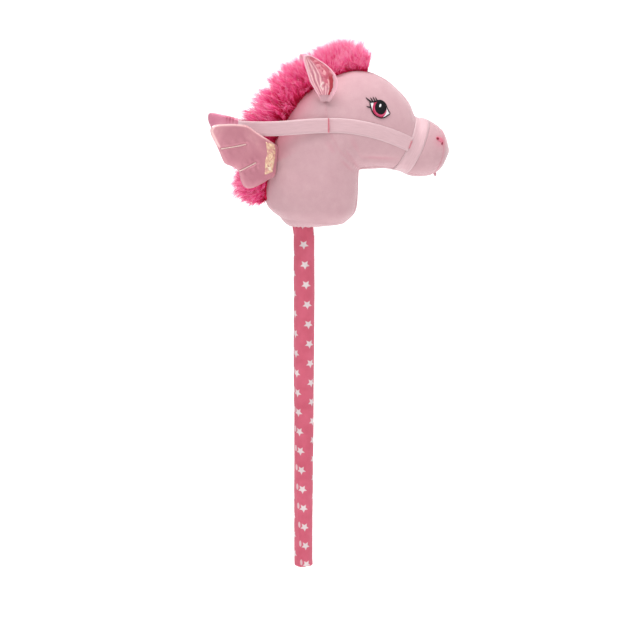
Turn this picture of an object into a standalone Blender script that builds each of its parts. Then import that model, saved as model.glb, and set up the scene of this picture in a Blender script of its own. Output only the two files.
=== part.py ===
"""Plush winged hobby horse on a cloth-covered stick.

Metres, +Z up. The origin is the middle of the stick's foot, +X points to the nose
and +Y to the horse's left side. Tables of outlines are in millimetres.
"""

import math

import bpy
import bmesh
from mathutils import Vector
from mathutils.bvhtree import BVHTree

MM = 0.001

# Clearances
GAP = 0.0003
SEAM = 0.0004
STUFFING_GAP = 0.0005

# Stick
DOWEL_DIAMETER = 0.022
DOWEL_INSERTION = 0.105
SLEEVE_WALL = 0.0006
SLEEVE_LOOSENESS = 0.0021
SLEEVE_FOOT_THICKNESS = 0.0010
SLEEVE_INSERTION = 0.060
FOOT_CAP_WALL = 0.0007
FOOT_CAP_FLOOR = 0.0025
FOOT_CAP_HEIGHT = 0.022
HEAD_CAP_WALL = 0.0015
HEAD_CAP_HEIGHT = 0.018
COLLAR_HEIGHT = 0.020
COLLAR_WALL = 0.0012
TIE_THICKNESS = 0.0018
TIE_WIDTH = 0.0045
ROUND_SIDES = 32

# Plush head: its height above the floor, its half widths and its cover.
# Places on the head are given as distance ahead of the stick and height.
NECK_BASE_HEIGHT = 0.500
NECK_HALF_WIDTH = 0.054
CHEEK_HALF_WIDTH = 0.050
BRIDGE_HALF_WIDTH = 0.0395
MUZZLE_HALF_WIDTH = 0.037
NOSE_HALF_WIDTH = 0.033
COVER_THICKNESS = 0.0020
GUSSET_HALF_WIDTH = 0.018
BASE_RING_RADIUS = 0.023
NOSE_CROWN = 0.0012

# Mane and forelock pile
MANE_SPREAD = 0.009
MANE_PILE = 0.042
MANE_HEM = 0.0018
FORELOCK_PILE = 0.047

# Ears
EAR_LENGTH = 0.0625
EAR_HALF_WIDTH = 0.0187
EAR_CUP = 0.0065
EAR_THICKNESS = 0.0020
EAR_LINING_THICKNESS = 0.0008
EAR_RIM = 0.0016
EAR_PLACE = (0.0285, NECK_BASE_HEIGHT + 0.172)
EAR_LEAN_OUT = 0.12

# Ribbons of the bridle
RIBBON_WIDTH = 0.0200
RIBBON_THICKNESS = 0.0010
RIBBON_LIFT = 0.0009
STITCH_THICKNESS = 0.0005
STITCH_WIDTH = 0.0012
REIN_PIVOT = (0.0325, NECK_BASE_HEIGHT + 0.140)
REIN_SLACK = 0.0025
REIN_TAPER = 0.75
REIN_END_EDGE = 0.0008
CHEEK_STRAP_MIDDLE = (0.0840, NECK_BASE_HEIGHT + 0.135)
CHEEK_STRAP_END = (0.1465, NECK_BASE_HEIGHT + 0.1125)
NOSEBAND_TOP = (0.165, NECK_BASE_HEIGHT + 0.147)
NOSEBAND_BOTTOM = (0.130, NECK_BASE_HEIGHT + 0.077)
NOSEBAND_BOW = 0.0065
TACK_LENGTH = 0.012
TACK_WIDTH = 0.005

# Wings
WING_ROOT = (-0.0360, NECK_BASE_HEIGHT + 0.090)
WING_FLARE = math.radians(32)
WING_THICKNESS = 0.0084
WING_EDGE_THICKNESS = 0.0026
WING_SKIN = 0.0007
PATCH_THICKNESS = 0.0004

# Stitched eye and nostril
EYE_PLACE = (0.1035, NECK_BASE_HEIGHT + 0.1647)
THREAD_THICKNESS = 0.0005
EYE_LINE_WIDTH = 0.0016

# Sections of the plush from the neck's base to the nose: the back and front points
# of each section seen from the side, with heights above the neck's base
SECTIONS = (
    ((-31, 10), (58, 2), NECK_HALF_WIDTH * 0.74),
    ((-49, 26), (73, 18), NECK_HALF_WIDTH * 0.94),
    ((-53, 50), (77, 45), NECK_HALF_WIDTH),
    ((-48, 82), (77.5, 64), NECK_HALF_WIDTH * 0.99),
    ((-43, 128), (78.3, 73.5), NECK_HALF_WIDTH * 0.97),
    ((-8, 181), (80, 75.8), CHEEK_HALF_WIDTH * 1.02),
    ((38, 204), (84, 76.6), CHEEK_HALF_WIDTH),
    ((78, 213), (96, 77.2), CHEEK_HALF_WIDTH * 0.98),
    ((114, 200.5), (114, 78), CHEEK_HALF_WIDTH * 0.93),
    ((144, 171), (134, 74.5), BRIDGE_HALF_WIDTH),
    ((157, 148.5), (149, 68), BRIDGE_HALF_WIDTH * 0.90),
    ((172, 146), (163, 66.2), MUZZLE_HALF_WIDTH),
    ((192, 135), (181, 68.5), NOSE_HALF_WIDTH),
    ((201, 122), (194.5, 77.5), NOSE_HALF_WIDTH * 0.80),
    ((204.5, 108), (203, 94), NOSE_HALF_WIDTH * 0.34),
)
STEPS_PER_SECTION = 2
THROAT_RING = 5 * STEPS_PER_SECTION
POLL_RING = 6 * STEPS_PER_SECTION
FORELOCK_END_RING = 15
MUZZLE_RING = 10 * STEPS_PER_SECTION
NOSE_RING = 12 * STEPS_PER_SECTION
SIDE_FULLNESS = 0.85
CHEEK_EGG = 0.10

# Columns round a ring: 0 is the back or top, HALF_COLUMNS the front or underside,
# and the same columns run back up the right side
GUSSET_COLUMNS = 2
SIDE_COLUMNS = 8
HALF_COLUMNS = 2 * GUSSET_COLUMNS + SIDE_COLUMNS
RING_COLUMNS = 2 * HALF_COLUMNS


def rgb(red, green, blue):
    """A colour from its 0 to 255 screen values, as linear light."""
    linear = [(part / 255) ** 2.2 for part in (red, green, blue)]
    return (*linear, 1.0)


def make_material(name, colour, roughness, metallic=0.0):
    material = bpy.data.materials.new(name)
    material.use_nodes = True
    shader = material.node_tree.nodes["Principled BSDF"]
    shader.inputs["Base Color"].default_value = colour
    shader.inputs["Roughness"].default_value = roughness
    shader.inputs["Metallic"].default_value = metallic
    material.diffuse_color = colour
    return material


def clear_scene():
    for old in list(bpy.data.objects):
        bpy.data.objects.remove(old)


def add_object(name, points, faces, material, hinge=None, smooth=True):
    """One closed mesh object with its faces turned outward, on a hinge's empty if it moves."""
    mesh = bpy.data.meshes.new(name)
    mesh.from_pydata([tuple(point) for point in points], [], faces)
    shape = bmesh.new()
    shape.from_mesh(mesh)
    bmesh.ops.recalc_face_normals(shape, faces=shape.faces)
    shape.to_mesh(mesh)
    shape.free()
    if smooth:
        mesh.shade_smooth()
        mesh.set_sharp_from_angle(angle=math.radians(40))
    mesh.materials.append(material)
    item = bpy.data.objects.new(name, mesh)
    bpy.context.scene.collection.objects.link(item)
    if hinge:
        item.parent = hinge
        item.matrix_parent_inverse = hinge.matrix_basis.inverted()
    return item


def add_hinge(name, place):
    """An empty on a joint's axis, which the pieces of a moving body hang from."""
    hinge = bpy.data.objects.new(name, None)
    hinge.location = place
    hinge.empty_display_size = 0.01
    bpy.context.scene.collection.objects.link(hinge)
    return hinge


def loft(loops, wrap=False, start_tip=None, end_tip=None):
    """Points and faces of a closed skin through loops of equal length.

    The ends meet if wrap is set. Otherwise each end closes on its tip, or as one flat face.
    """
    count = len(loops[0])
    points = [point for loop in loops for point in loop]
    faces = []
    pairs = len(loops) if wrap else len(loops) - 1
    for step in range(pairs):
        here = step * count
        there = (step + 1) % len(loops) * count
        for k in range(count):
            after = (k + 1) % count
            faces.append((here + k, here + after, there + after, there + k))
    if wrap:
        return points, faces
    for first, tip, flip in ((0, start_tip, True), ((len(loops) - 1) * count, end_tip, False)):
        if tip is None:
            rim = [first + k for k in range(count)]
            faces.append(tuple(rim[::-1] if flip else rim))
            continue
        points.append(tip)
        for k in range(count):
            edge = (first + k, first + (k + 1) % count)
            faces.append((*(edge[::-1] if flip else edge), len(points) - 1))
    return points, faces


def circle(radius, height, sides=ROUND_SIDES):
    return [
        Vector((radius * math.cos(angle), radius * math.sin(angle), height))
        for angle in (2 * math.pi * k / sides for k in range(sides))
    ]


def moved_toward(point, other, distance):
    return point + (other - point).normalized() * distance


# Plush surface


def catmull_rom(before, start, end, after, share):
    """A point of the smooth curve through start and end, for numbers or vectors."""
    leave = (end - before) * 0.5
    arrive = (after - start) * 0.5
    square = share * share
    cube = square * share
    return (
        start * (2 * cube - 3 * square + 1)
        + leave * (cube - 2 * square + share)
        + end * (3 * square - 2 * cube)
        + arrive * (cube - square)
    )


def section_frames():
    """Back point, front point and half width of every ring."""
    keys = []
    for back, front, half_width in SECTIONS:
        back_point = Vector((back[0] * MM, 0, NECK_BASE_HEIGHT + back[1] * MM))
        front_point = Vector((front[0] * MM, 0, NECK_BASE_HEIGHT + front[1] * MM))
        keys.append((back_point, front_point, half_width))
    frames = []
    for index in range(len(keys) - 1):
        around = [keys[min(max(index + shift, 0), len(keys) - 1)] for shift in (-1, 0, 1, 2)]
        for step in range(STEPS_PER_SECTION):
            share = step / STEPS_PER_SECTION
            frames.append(tuple(catmull_rom(*(key[part] for key in around), share) for part in range(3)))
    frames.append(keys[-1])
    return frames


def column_angles(half_width):
    """Angles of one half ring's columns, with the gussets' seams at their own half width."""
    share = min(GUSSET_HALF_WIDTH / half_width, 0.8)
    seam = math.asin(share ** (1 / SIDE_FULLNESS))
    top = [seam * k / GUSSET_COLUMNS for k in range(GUSSET_COLUMNS)]
    side = [seam + (math.pi - 2 * seam) * k / SIDE_COLUMNS for k in range(SIDE_COLUMNS + 1)]
    under = [math.pi - angle for angle in reversed(top)]
    return top + side + under


def ring_points(back, front, half_width):
    middle = (back + front) / 2
    reach = (back - front) / 2
    left = []
    for angle in column_angles(half_width):
        along = math.cos(angle)
        across = 0.0
        if 0 < angle < math.pi:
            across = half_width * math.sin(angle) ** SIDE_FULLNESS * (1 - CHEEK_EGG * along)
        left.append(middle + reach * along + Vector((0, across, 0)))
    left[-1].y = 0.0
    right = [Vector((point.x, -point.y, point.z)) for point in left[-2:0:-1]]
    return left + right


def surface_normals(rings):
    """Outward directions at every point of the rings."""
    normals = []
    last = len(rings) - 1
    for i, ring in enumerate(rings):
        row = []
        for k in range(RING_COLUMNS):
            along = rings[min(i + 1, last)][k] - rings[max(i - 1, 0)][k]
            round_it = ring[(k + 1) % RING_COLUMNS] - ring[k - 1]
            row.append(along.cross(round_it).normalized())
        normals.append(row)
    middle = sum(rings[4], Vector()) / RING_COLUMNS
    if normals[4][0].dot(rings[4][0] - middle) < 0:
        normals = [[-normal for normal in row] for row in normals]
    return normals


FRAMES = section_frames()
RINGS = [ring_points(*frame) for frame in FRAMES]
NORMALS = surface_normals(RINGS)
NORMALS[0] = [(normal + Vector((0, 0, -1))).normalized() for normal in NORMALS[0]]
LAST_RING = len(RINGS) - 1
NOSE_AXIS = ((FRAMES[-1][0] + FRAMES[-1][1]) / 2 - (FRAMES[-2][0] + FRAMES[-2][1]) / 2).normalized()


def skin_point(i, k, depth=0.0):
    """A point of the plush surface, sunk below it by depth."""
    column = k % RING_COLUMNS
    return RINGS[i][column] - NORMALS[i][column] * depth


def skin_ring(i, depth=0.0):
    return [skin_point(i, k, depth) for k in range(RING_COLUMNS)]


def nose_tip(depth=0.0):
    middle = sum(skin_ring(LAST_RING, depth), Vector()) / RING_COLUMNS
    return middle + NOSE_AXIS * NOSE_CROWN


def make_surface_tree():
    points = [point for ring in RINGS for point in ring] + [nose_tip()]
    faces = []
    for i in range(LAST_RING):
        for k in range(RING_COLUMNS):
            after = (k + 1) % RING_COLUMNS
            here = i * RING_COLUMNS
            there = here + RING_COLUMNS
            faces.append((here + k, here + after, there + after, there + k))
    return BVHTree.FromPolygons(points, faces)


SURFACE = make_surface_tree()
FAR_OUT = 0.3


def side_hit(x, z, side):
    """Where the side of the head lies at this place seen from the side, and its outward direction."""
    start = Vector((x, side * FAR_OUT, z))
    place, normal, _, _ = SURFACE.ray_cast(start, Vector((0, -side, 0)))
    if place is None:
        return None, None
    if normal.y * side < 0:
        normal = -normal
    return place, normal


def cover_panel(name, first_ring, last_ring, first_column, last_column, material):
    """A patch of the plush cover between four seams, pulled back from each seam."""
    outer = []
    inner = []
    for i in range(first_ring, last_ring + 1):
        outer.append([skin_point(i, k) for k in range(first_column, last_column + 1)])
        inner.append([skin_point(i, k, COVER_THICKNESS) for k in range(first_column, last_column + 1)])
    for grid in (outer, inner):
        rows = [row[:] for row in grid]
        for k in range(len(grid[0])):
            grid[0][k] = moved_toward(rows[0][k], rows[1][k], SEAM / 2)
            grid[-1][k] = moved_toward(rows[-1][k], rows[-2][k], SEAM / 2)
        rows = [row[:] for row in grid]
        for i, row in enumerate(rows):
            grid[i][0] = moved_toward(row[0], row[1], SEAM / 2)
            grid[i][-1] = moved_toward(row[-1], row[-2], SEAM / 2)
    loops = [outer_row + inner_row[::-1] for outer_row, inner_row in zip(outer, inner)]
    return add_object(name, *loft_with_strip_ends(loops), material)


def loft_with_strip_ends(loops):
    """A loft with ends of narrow quads, for loops that run out on one side and back on the other."""
    count = len(loops[0])
    points, faces = loft(loops, wrap=False)
    faces = faces[:-2]
    half = count // 2
    for first, flip in ((0, True), ((len(loops) - 1) * count, False)):
        for k in range(half - 1):
            strip = (first + k, first + k + 1, first + count - 2 - k, first + count - 1 - k)
            faces.append(strip[::-1] if flip else strip)
    return points, faces


def ring_plane_direction(i):
    """The direction along the body, square to ring i's plane."""
    back, front, _ = FRAMES[i]
    across = (back - front).normalized()
    return across.cross(Vector((0, 1, 0))).normalized()


def toward_nose(i):
    direction = ring_plane_direction(i)
    neighbour = min(i + 1, LAST_RING)
    ahead = (FRAMES[neighbour][0] + FRAMES[neighbour][1]) - (FRAMES[i][0] + FRAMES[i][1])
    return direction if direction.dot(ahead) > 0 else -direction


# Stick


def sleeve_radius(height):
    """Outer radius of the sleeve, which hangs looser toward the neck."""
    share = min(max(height / NECK_BASE_HEIGHT, 0.0), 1.0)
    foot = DOWEL_DIAMETER / 2 + FOOT_CAP_WALL + 2 * GAP + SLEEVE_WALL
    return foot + SLEEVE_LOOSENESS / 2 * share


def make_stick():
    wood = make_material("bare_wood", rgb(214, 178, 128), 0.6)
    cloth = make_material("printed_cloth", rgb(213, 110, 131), 0.85)
    plastic = make_material("cap_plastic", rgb(235, 232, 226), 0.45)
    nylon = make_material("tie_nylon", rgb(240, 240, 240), 0.5)
    dowel_radius = DOWEL_DIAMETER / 2
    dowel_top = NECK_BASE_HEIGHT + DOWEL_INSERTION
    sleeve_top = NECK_BASE_HEIGHT + SLEEVE_INSERTION
    cap_foot = SLEEVE_FOOT_THICKNESS + GAP
    dowel_foot = cap_foot + FOOT_CAP_FLOOR + GAP
    chamfer = 0.001

    dowel = [
        circle(dowel_radius - chamfer, dowel_foot),
        circle(dowel_radius, dowel_foot + chamfer),
        circle(dowel_radius, dowel_top - chamfer),
        circle(dowel_radius - chamfer, dowel_top),
    ]
    add_object("stick_dowel", *loft(dowel), wood)

    cap_inner = dowel_radius + GAP
    cap_outer = cap_inner + FOOT_CAP_WALL
    foot_cap = [
        circle(cap_outer - chamfer, cap_foot),
        circle(cap_outer, cap_foot + chamfer),
        circle(cap_outer, cap_foot + FOOT_CAP_HEIGHT),
        circle(cap_inner, cap_foot + FOOT_CAP_HEIGHT),
        circle(cap_inner, cap_foot + FOOT_CAP_FLOOR),
    ]
    add_object("foot_cap", *loft(foot_cap), plastic)

    head_cap_inner = dowel_radius + GAP
    head_cap_outer = head_cap_inner + HEAD_CAP_WALL
    cap_top = dowel_top + GAP + FOOT_CAP_FLOOR
    head_cap = [
        circle(head_cap_inner, dowel_top + GAP),
        circle(head_cap_inner, dowel_top + GAP - HEAD_CAP_HEIGHT),
        circle(head_cap_outer, dowel_top + GAP - HEAD_CAP_HEIGHT),
        circle(head_cap_outer, cap_top - chamfer),
        circle(head_cap_outer - chamfer, cap_top),
    ]
    add_object("dowel_head_cap", *loft(head_cap), plastic)

    sleeve = [
        circle(sleeve_radius(0) - SLEEVE_WALL, SLEEVE_FOOT_THICKNESS),
        circle(sleeve_radius(NECK_BASE_HEIGHT) - SLEEVE_WALL, NECK_BASE_HEIGHT),
        circle(sleeve_radius(NECK_BASE_HEIGHT) - SLEEVE_WALL, sleeve_top),
        circle(sleeve_radius(NECK_BASE_HEIGHT), sleeve_top),
        circle(sleeve_radius(NECK_BASE_HEIGHT), NECK_BASE_HEIGHT),
        circle(sleeve_radius(NECK_BASE_HEIGHT / 2), NECK_BASE_HEIGHT / 2),
        circle(sleeve_radius(0), 0.0),
    ]
    add_object("stick_sleeve", *loft(sleeve), cloth)

    tie_inner = tie_radius()
    tie_middle = NECK_BASE_HEIGHT + COVER_THICKNESS + (COLLAR_HEIGHT - COVER_THICKNESS) * 0.6
    tie = [
        circle(radius, tie_middle + shift)
        for radius, shift in (
            (tie_inner, -TIE_WIDTH / 2),
            (tie_inner + TIE_THICKNESS, -TIE_WIDTH / 2),
            (tie_inner + TIE_THICKNESS, TIE_WIDTH / 2),
            (tie_inner, TIE_WIDTH / 2),
        )
    ]
    add_object("neck_tie", *loft(tie, wrap=True), nylon)


# A polygon's sides lie inside its corners' circle by this share of the radius
FLATTEST = math.cos(math.pi / RING_COLUMNS)


def collar_radius():
    """Radius of the corners of the collar's hole, whose flats clear the sleeve."""
    return (sleeve_radius(NECK_BASE_HEIGHT) + GAP) / FLATTEST


def tie_radius():
    """Radius of the corners of the tie's hole, whose flats clear the collar."""
    return (collar_radius() + COLLAR_WALL + GAP) / math.cos(math.pi / ROUND_SIDES)


def stick_bore_radius():
    """Radius of the stuffing's bore above the collar, round the sleeve and the dowel's cap."""
    widest = max(sleeve_radius(NECK_BASE_HEIGHT), DOWEL_DIAMETER / 2 + GAP + HEAD_CAP_WALL)
    return (widest + GAP) / FLATTEST


def tie_bore_radius():
    """Radius of the stuffing's hollow round the collar and its tie."""
    return (tie_radius() + TIE_THICKNESS + GAP) / FLATTEST


def base_circle(radius, height):
    """A circle round the stick with one point for each column of the plush, in their order."""
    points = []
    for k in range(RING_COLUMNS):
        angle = math.pi - 2 * math.pi * k / RING_COLUMNS
        points.append(Vector((radius * math.cos(angle), radius * math.sin(angle), height)))
    return points


# Plush head


def make_stuffing():
    fibre = make_material("fibre_filling", rgb(244, 242, 240), 0.95)
    depth = COVER_THICKNESS + STUFFING_GAP
    tie_hollow = tie_bore_radius()
    stick_hollow = stick_bore_radius()
    floor = NECK_BASE_HEIGHT + depth
    collar_top = NECK_BASE_HEIGHT + COLLAR_HEIGHT + GAP
    bore_top = NECK_BASE_HEIGHT + DOWEL_INSERTION + FOOT_CAP_FLOOR + 2 * GAP
    bore = [
        base_circle(stick_hollow, bore_top),
        base_circle(stick_hollow, collar_top),
        base_circle(tie_hollow, collar_top),
        base_circle(tie_hollow, floor),
    ]
    rim = skin_ring(0, depth)
    rim = [moved_toward(point, skin_point(1, k, depth), GAP / 2) for k, point in enumerate(rim)]
    cut = toward_nose(THROAT_RING) * (GAP / 2)
    neck = bore + [rim] + [skin_ring(i, depth) for i in range(1, THROAT_RING)]
    neck.append([point - cut for point in skin_ring(THROAT_RING, depth)])
    add_object("neck_stuffing", *loft(neck), fibre)

    muzzle_cut = toward_nose(MUZZLE_RING) * (GAP / 2)
    head = [[point + cut for point in skin_ring(THROAT_RING, depth)]]
    head += [skin_ring(i, depth) for i in range(THROAT_RING + 1, MUZZLE_RING)]
    head.append([point - muzzle_cut for point in skin_ring(MUZZLE_RING, depth)])
    add_object("head_stuffing", *loft(head), fibre)

    muzzle = [[point + muzzle_cut for point in skin_ring(MUZZLE_RING, depth)]]
    muzzle += [skin_ring(i, depth) for i in range(MUZZLE_RING + 1, LAST_RING + 1)]
    tip = nose_tip(depth) - NOSE_AXIS * depth
    add_object("muzzle_stuffing", *loft(muzzle, end_tip=tip), fibre)


def make_cover():
    plush = make_material("pale_pink_plush", rgb(216, 173, 180), 0.9)
    seam_column = GUSSET_COLUMNS
    under_column = GUSSET_COLUMNS + SIDE_COLUMNS
    sides = (
        ("left", seam_column, under_column),
        ("right", RING_COLUMNS - under_column, RING_COLUMNS - seam_column),
    )
    for side, first, last in sides:
        cover_panel(f"neck_side_{side}", 0, THROAT_RING, first, last, plush)
        cover_panel(f"face_side_{side}", THROAT_RING, NOSE_RING, first, last, plush)
    under = (under_column, RING_COLUMNS - under_column)
    cover_panel("throat_gusset", 0, THROAT_RING, *under, plush)
    cover_panel("jaw_gusset", THROAT_RING, NOSE_RING, *under, plush)
    top = (RING_COLUMNS - seam_column, RING_COLUMNS + seam_column)
    cover_panel("crown_gusset", FORELOCK_END_RING, NOSE_RING, *top, plush)

    outer = [skin_ring(i) for i in range(NOSE_RING, LAST_RING + 1)]
    inner = [skin_ring(i, COVER_THICKNESS) for i in range(NOSE_RING, LAST_RING + 1)]
    for grid in (outer, inner):
        grid[0] = [moved_toward(a, b, SEAM / 2) for a, b in zip(grid[0], grid[1])]
    inner_tip = nose_tip(COVER_THICKNESS) - NOSE_AXIS * COVER_THICKNESS
    nose = loft(outer[::-1] + inner, start_tip=nose_tip(), end_tip=inner_tip)
    add_object("nose_panel", *nose, plush)

    base = NECK_BASE_HEIGHT
    hole = collar_radius()
    collar = hole + COLLAR_WALL
    rim = [skin_point(0, k) for k in range(RING_COLUMNS)]
    rim_top = [skin_point(0, k, COVER_THICKNESS) for k in range(RING_COLUMNS)]
    centre = Vector((0, 0, base))
    panel = [
        [moved_toward(point, centre, SEAM) for point in rim],
        base_circle(BASE_RING_RADIUS, base),
        base_circle(hole, base),
        base_circle(hole, base + COLLAR_HEIGHT),
        base_circle(collar, base + COLLAR_HEIGHT),
        base_circle(collar, base + COVER_THICKNESS),
        base_circle(BASE_RING_RADIUS, base + COVER_THICKNESS),
        [moved_toward(point, centre + Vector((0, 0, COVER_THICKNESS)), SEAM) for point in rim_top],
    ]
    add_object("neck_base_panel", *loft(panel, wrap=True), plush)


# Mane and forelock


# Pile length at the rings, as shares of the full pile: the mane's from the neck's base
# up to the poll, and the forelock's from the poll down the forehead
MANE_RISE = (0.03, 0.10, 0.36, 0.66, 0.88, 1.02, 1.10, 1.07, 0.99, 0.98, 1.0, 1.05, 1.10)
FORELOCK_FALL = (0.98, 1.0, 0.81, 0.51)
# How far the pile covers the side panels at the same rings, as shares of its full spread
MANE_COVER = (0.15, 0.15, 0.15, 0.15, 0.20, 0.30, 0.45, 0.80, 1.0, 1.0, 0.90, 0.70, 0.55)
FORELOCK_COVER = (0.55, 0.40, 0.30, 0.30)
PILE_COLUMNS = 9


def pile_loop(i, pile, spread):
    """One loop round the pile at ring i: its backing between the side panels, then its rounded outside."""
    seam = GUSSET_COLUMNS
    back, front, _ = FRAMES[i]
    outward = (back - front).normalized()
    backing = [skin_point(i, k, COVER_THICKNESS) for k in range(-seam, seam + 1)]
    backing[0] = moved_toward(backing[0], backing[1], SEAM / 2)
    backing[-1] = moved_toward(backing[-1], backing[-2], SEAM / 2)
    rims = []
    for sign in (1, -1):
        over_seam = skin_point(i, sign * seam, -SEAM)
        slot = moved_toward(over_seam, skin_point(i, 0, -SEAM), SEAM / 2)
        lip = moved_toward(over_seam, skin_point(i, sign * (seam + 1), -SEAM), spread)
        rims.append((slot, lip))
    half_width = rims[0][1].y
    sunk = (back - rims[0][1]).dot(outward)
    outside = []
    for step in range(1, PILE_COLUMNS + 1):
        angle = math.pi * (step / (PILE_COLUMNS + 1) - 0.5)
        rise = (sunk + pile) * math.cos(angle) - sunk
        outside.append(back + outward * rise + Vector((0, -half_width * math.sin(angle), 0)))
    return backing + [rims[0][0], rims[0][1]] + outside + [rims[1][1], rims[1][0]]


def pile_piece(name, first_ring, shares, covers, full_pile, material):
    loops = [
        pile_loop(first_ring + step, share * full_pile, cover * MANE_SPREAD)
        for step, (share, cover) in enumerate(zip(shares, covers))
    ]
    hem = MANE_HEM if first_ring == 0 else SEAM / 2
    loops[0] = [moved_toward(point, other, hem) for point, other in zip(loops[0], loops[1])]
    loops[-1] = [moved_toward(point, other, SEAM / 2) for point, other in zip(loops[-1], loops[-2])]
    return add_object(name, *loft(loops), material)


def make_mane():
    fur = make_material("cerise_pile", rgb(222, 72, 118), 0.8)
    pile_piece("mane", 0, MANE_RISE, MANE_COVER, MANE_PILE, fur)
    pile_piece("forelock", POLL_RING, FORELOCK_FALL, FORELOCK_COVER, FORELOCK_PILE, fur)


def mane_reach():
    """Greatest distance of the mane's ridge from the rein's pivot, where the rein passes over it."""
    pivot = Vector((REIN_PIVOT[0], 0, REIN_PIVOT[1]))
    ridge = []
    for i, share in enumerate(MANE_RISE):
        back, front, _ = FRAMES[i]
        ridge.append(back + (back - front).normalized() * (share * MANE_PILE))
    steps = 12
    reach = 0.0
    for start, end in zip(ridge, ridge[1:]):
        for step in range(steps + 1):
            point = start.lerp(end, step / steps)
            if point.z > pivot.z - RIBBON_WIDTH / 2:
                reach = max(reach, (point - pivot).length)
    return reach


# Ears


# Rows of an ear from base to tip: share of its length, sideways shift of its middle
# as a share of its length, and share of its half width
EAR_ROWS = (
    (0.0, 0.0, 0.32),
    (0.12, 0.02, 0.52),
    (0.27, 0.03, 0.82),
    (0.43, 0.0, 1.0),
    (0.60, -0.06, 0.99),
    (0.78, -0.18, 0.80),
    (0.91, -0.31, 0.45),
    (1.0, -0.40, 0.12),
)
EAR_COLUMNS = 6


def ear_grid(side, depth, inset):
    """Points of one face of an ear, depth outward of its plush back and drawn in by inset."""
    place, _ = side_hit(*EAR_PLACE, side)
    foot = abs(place.y) + GAP
    grid = []
    for length_share, shift, width_share in EAR_ROWS:
        row = []
        half_width = EAR_HALF_WIDTH * width_share - inset
        height = EAR_PLACE[1] + EAR_LENGTH * length_share
        for k in range(EAR_COLUMNS + 1):
            across = 2 * k / EAR_COLUMNS - 1
            x = EAR_PLACE[0] + EAR_LENGTH * shift + half_width * across
            cup = EAR_CUP * width_share * across * across
            y = foot + EAR_LEAN_OUT * (height - EAR_PLACE[1]) + cup + depth
            hit, _ = side_hit(x, height, side)
            if hit:
                y = max(y, abs(hit.y) + GAP * 2 + depth)
            row.append(Vector((x, side * y, height)))
        grid.append(row)
    return grid


def leaf(name, outer, inner, material, hinge):
    loops = [outer_row + inner_row[::-1] for outer_row, inner_row in zip(outer, inner)]
    return add_object(name, *loft_with_strip_ends(loops), material, hinge)


def make_ears():
    plush = make_material("ear_plush", rgb(226, 184, 192), 0.9)
    foil = make_material("ear_foil", rgb(208, 109, 120), 0.35, 0.4)
    for name, side in (("left", 1), ("right", -1)):
        place, _ = side_hit(*EAR_PLACE, side)
        hinge = add_hinge(f"ear_{name}_hinge", (EAR_PLACE[0], place.y, EAR_PLACE[1]))
        back = [ear_grid(side, depth, 0.0) for depth in (0.0, EAR_THICKNESS)]
        leaf(f"ear_{name}_back", back[1], back[0], plush, hinge)
        start = EAR_THICKNESS + GAP
        lining = [ear_grid(side, start + depth, EAR_RIM)[1:-1] for depth in (0.0, EAR_LINING_THICKNESS)]
        leaf(f"ear_{name}_lining", lining[1], lining[0], foil, hinge)


# Bridle


def noseband_frame():
    top = Vector((NOSEBAND_TOP[0], 0, NOSEBAND_TOP[1]))
    bottom = Vector((NOSEBAND_BOTTOM[0], 0, NOSEBAND_BOTTOM[1]))
    rise = (top - bottom).normalized()
    ahead = Vector((rise.z, 0, -rise.x))
    return (top + bottom) / 2, rise, ahead


def noseband_edge(shift, lift):
    """A closed line round the muzzle, shift ahead of the noseband's middle and lift above the plush."""
    middle, rise, ahead = noseband_frame()
    samples = 40
    line = []
    for k in range(samples):
        angle = 2 * math.pi * k / samples
        away = rise * math.cos(angle) + Vector((0, math.sin(angle), 0))
        start = middle + ahead * (shift + NOSEBAND_BOW * math.sin(angle) ** 2)
        place, normal, _, _ = SURFACE.ray_cast(start + away * FAR_OUT, -away)
        if normal.dot(away) < 0:
            normal = -normal
        line.append(place + normal * lift)
    return line


def cheek_line(x):
    """Height of the cheek strap's middle, seen from the side."""
    start = Vector(REIN_PIVOT)
    middle = Vector(CHEEK_STRAP_MIDDLE)
    end = Vector(CHEEK_STRAP_END)
    return (
        start.y * (x - middle.x) * (x - end.x) / ((start.x - middle.x) * (start.x - end.x))
        + middle.y * (x - start.x) * (x - end.x) / ((middle.x - start.x) * (middle.x - end.x))
        + end.y * (x - start.x) * (x - middle.x) / ((end.x - start.x) * (end.x - middle.x))
    )


def cheek_strap_end(offset):
    """Where a line of the strap meets the noseband's rear edge, seen from the side."""
    middle, rise, ahead = noseband_frame()
    x = middle.x
    for _ in range(20):
        z = cheek_line(x) + offset
        point = Vector((x, 0, z)) - middle
        x -= (point.dot(ahead) - (NOSEBAND_BOW - RIBBON_WIDTH / 2 - 2 * SEAM)) * 0.8
    return x


def make_cheek_strap(name, side, material):
    columns = 4
    steps = 14
    rows = []
    for step in range(steps + 1):
        row = []
        for k in range(columns + 1):
            offset = RIBBON_WIDTH * (k / columns - 0.5)
            start = REIN_PIVOT[0] + STITCH_WIDTH
            x = start + (cheek_strap_end(offset) - start) * step / steps
            place, normal = side_hit(x, cheek_line(x) + offset, side)
            row.append((place, normal))
        rows.append(row)
    outer = [[place + normal * (RIBBON_LIFT + RIBBON_THICKNESS) for place, normal in row] for row in rows]
    inner = [[place + normal * RIBBON_LIFT for place, normal in row] for row in rows]
    loops = [outer_row + inner_row[::-1] for outer_row, inner_row in zip(outer, inner)]
    add_object(name, *loft_with_strip_ends(loops), material)


REIN_STEPS = 30
REIN_END_STEPS = 4
SWEEP_STEPS = 8


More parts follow.
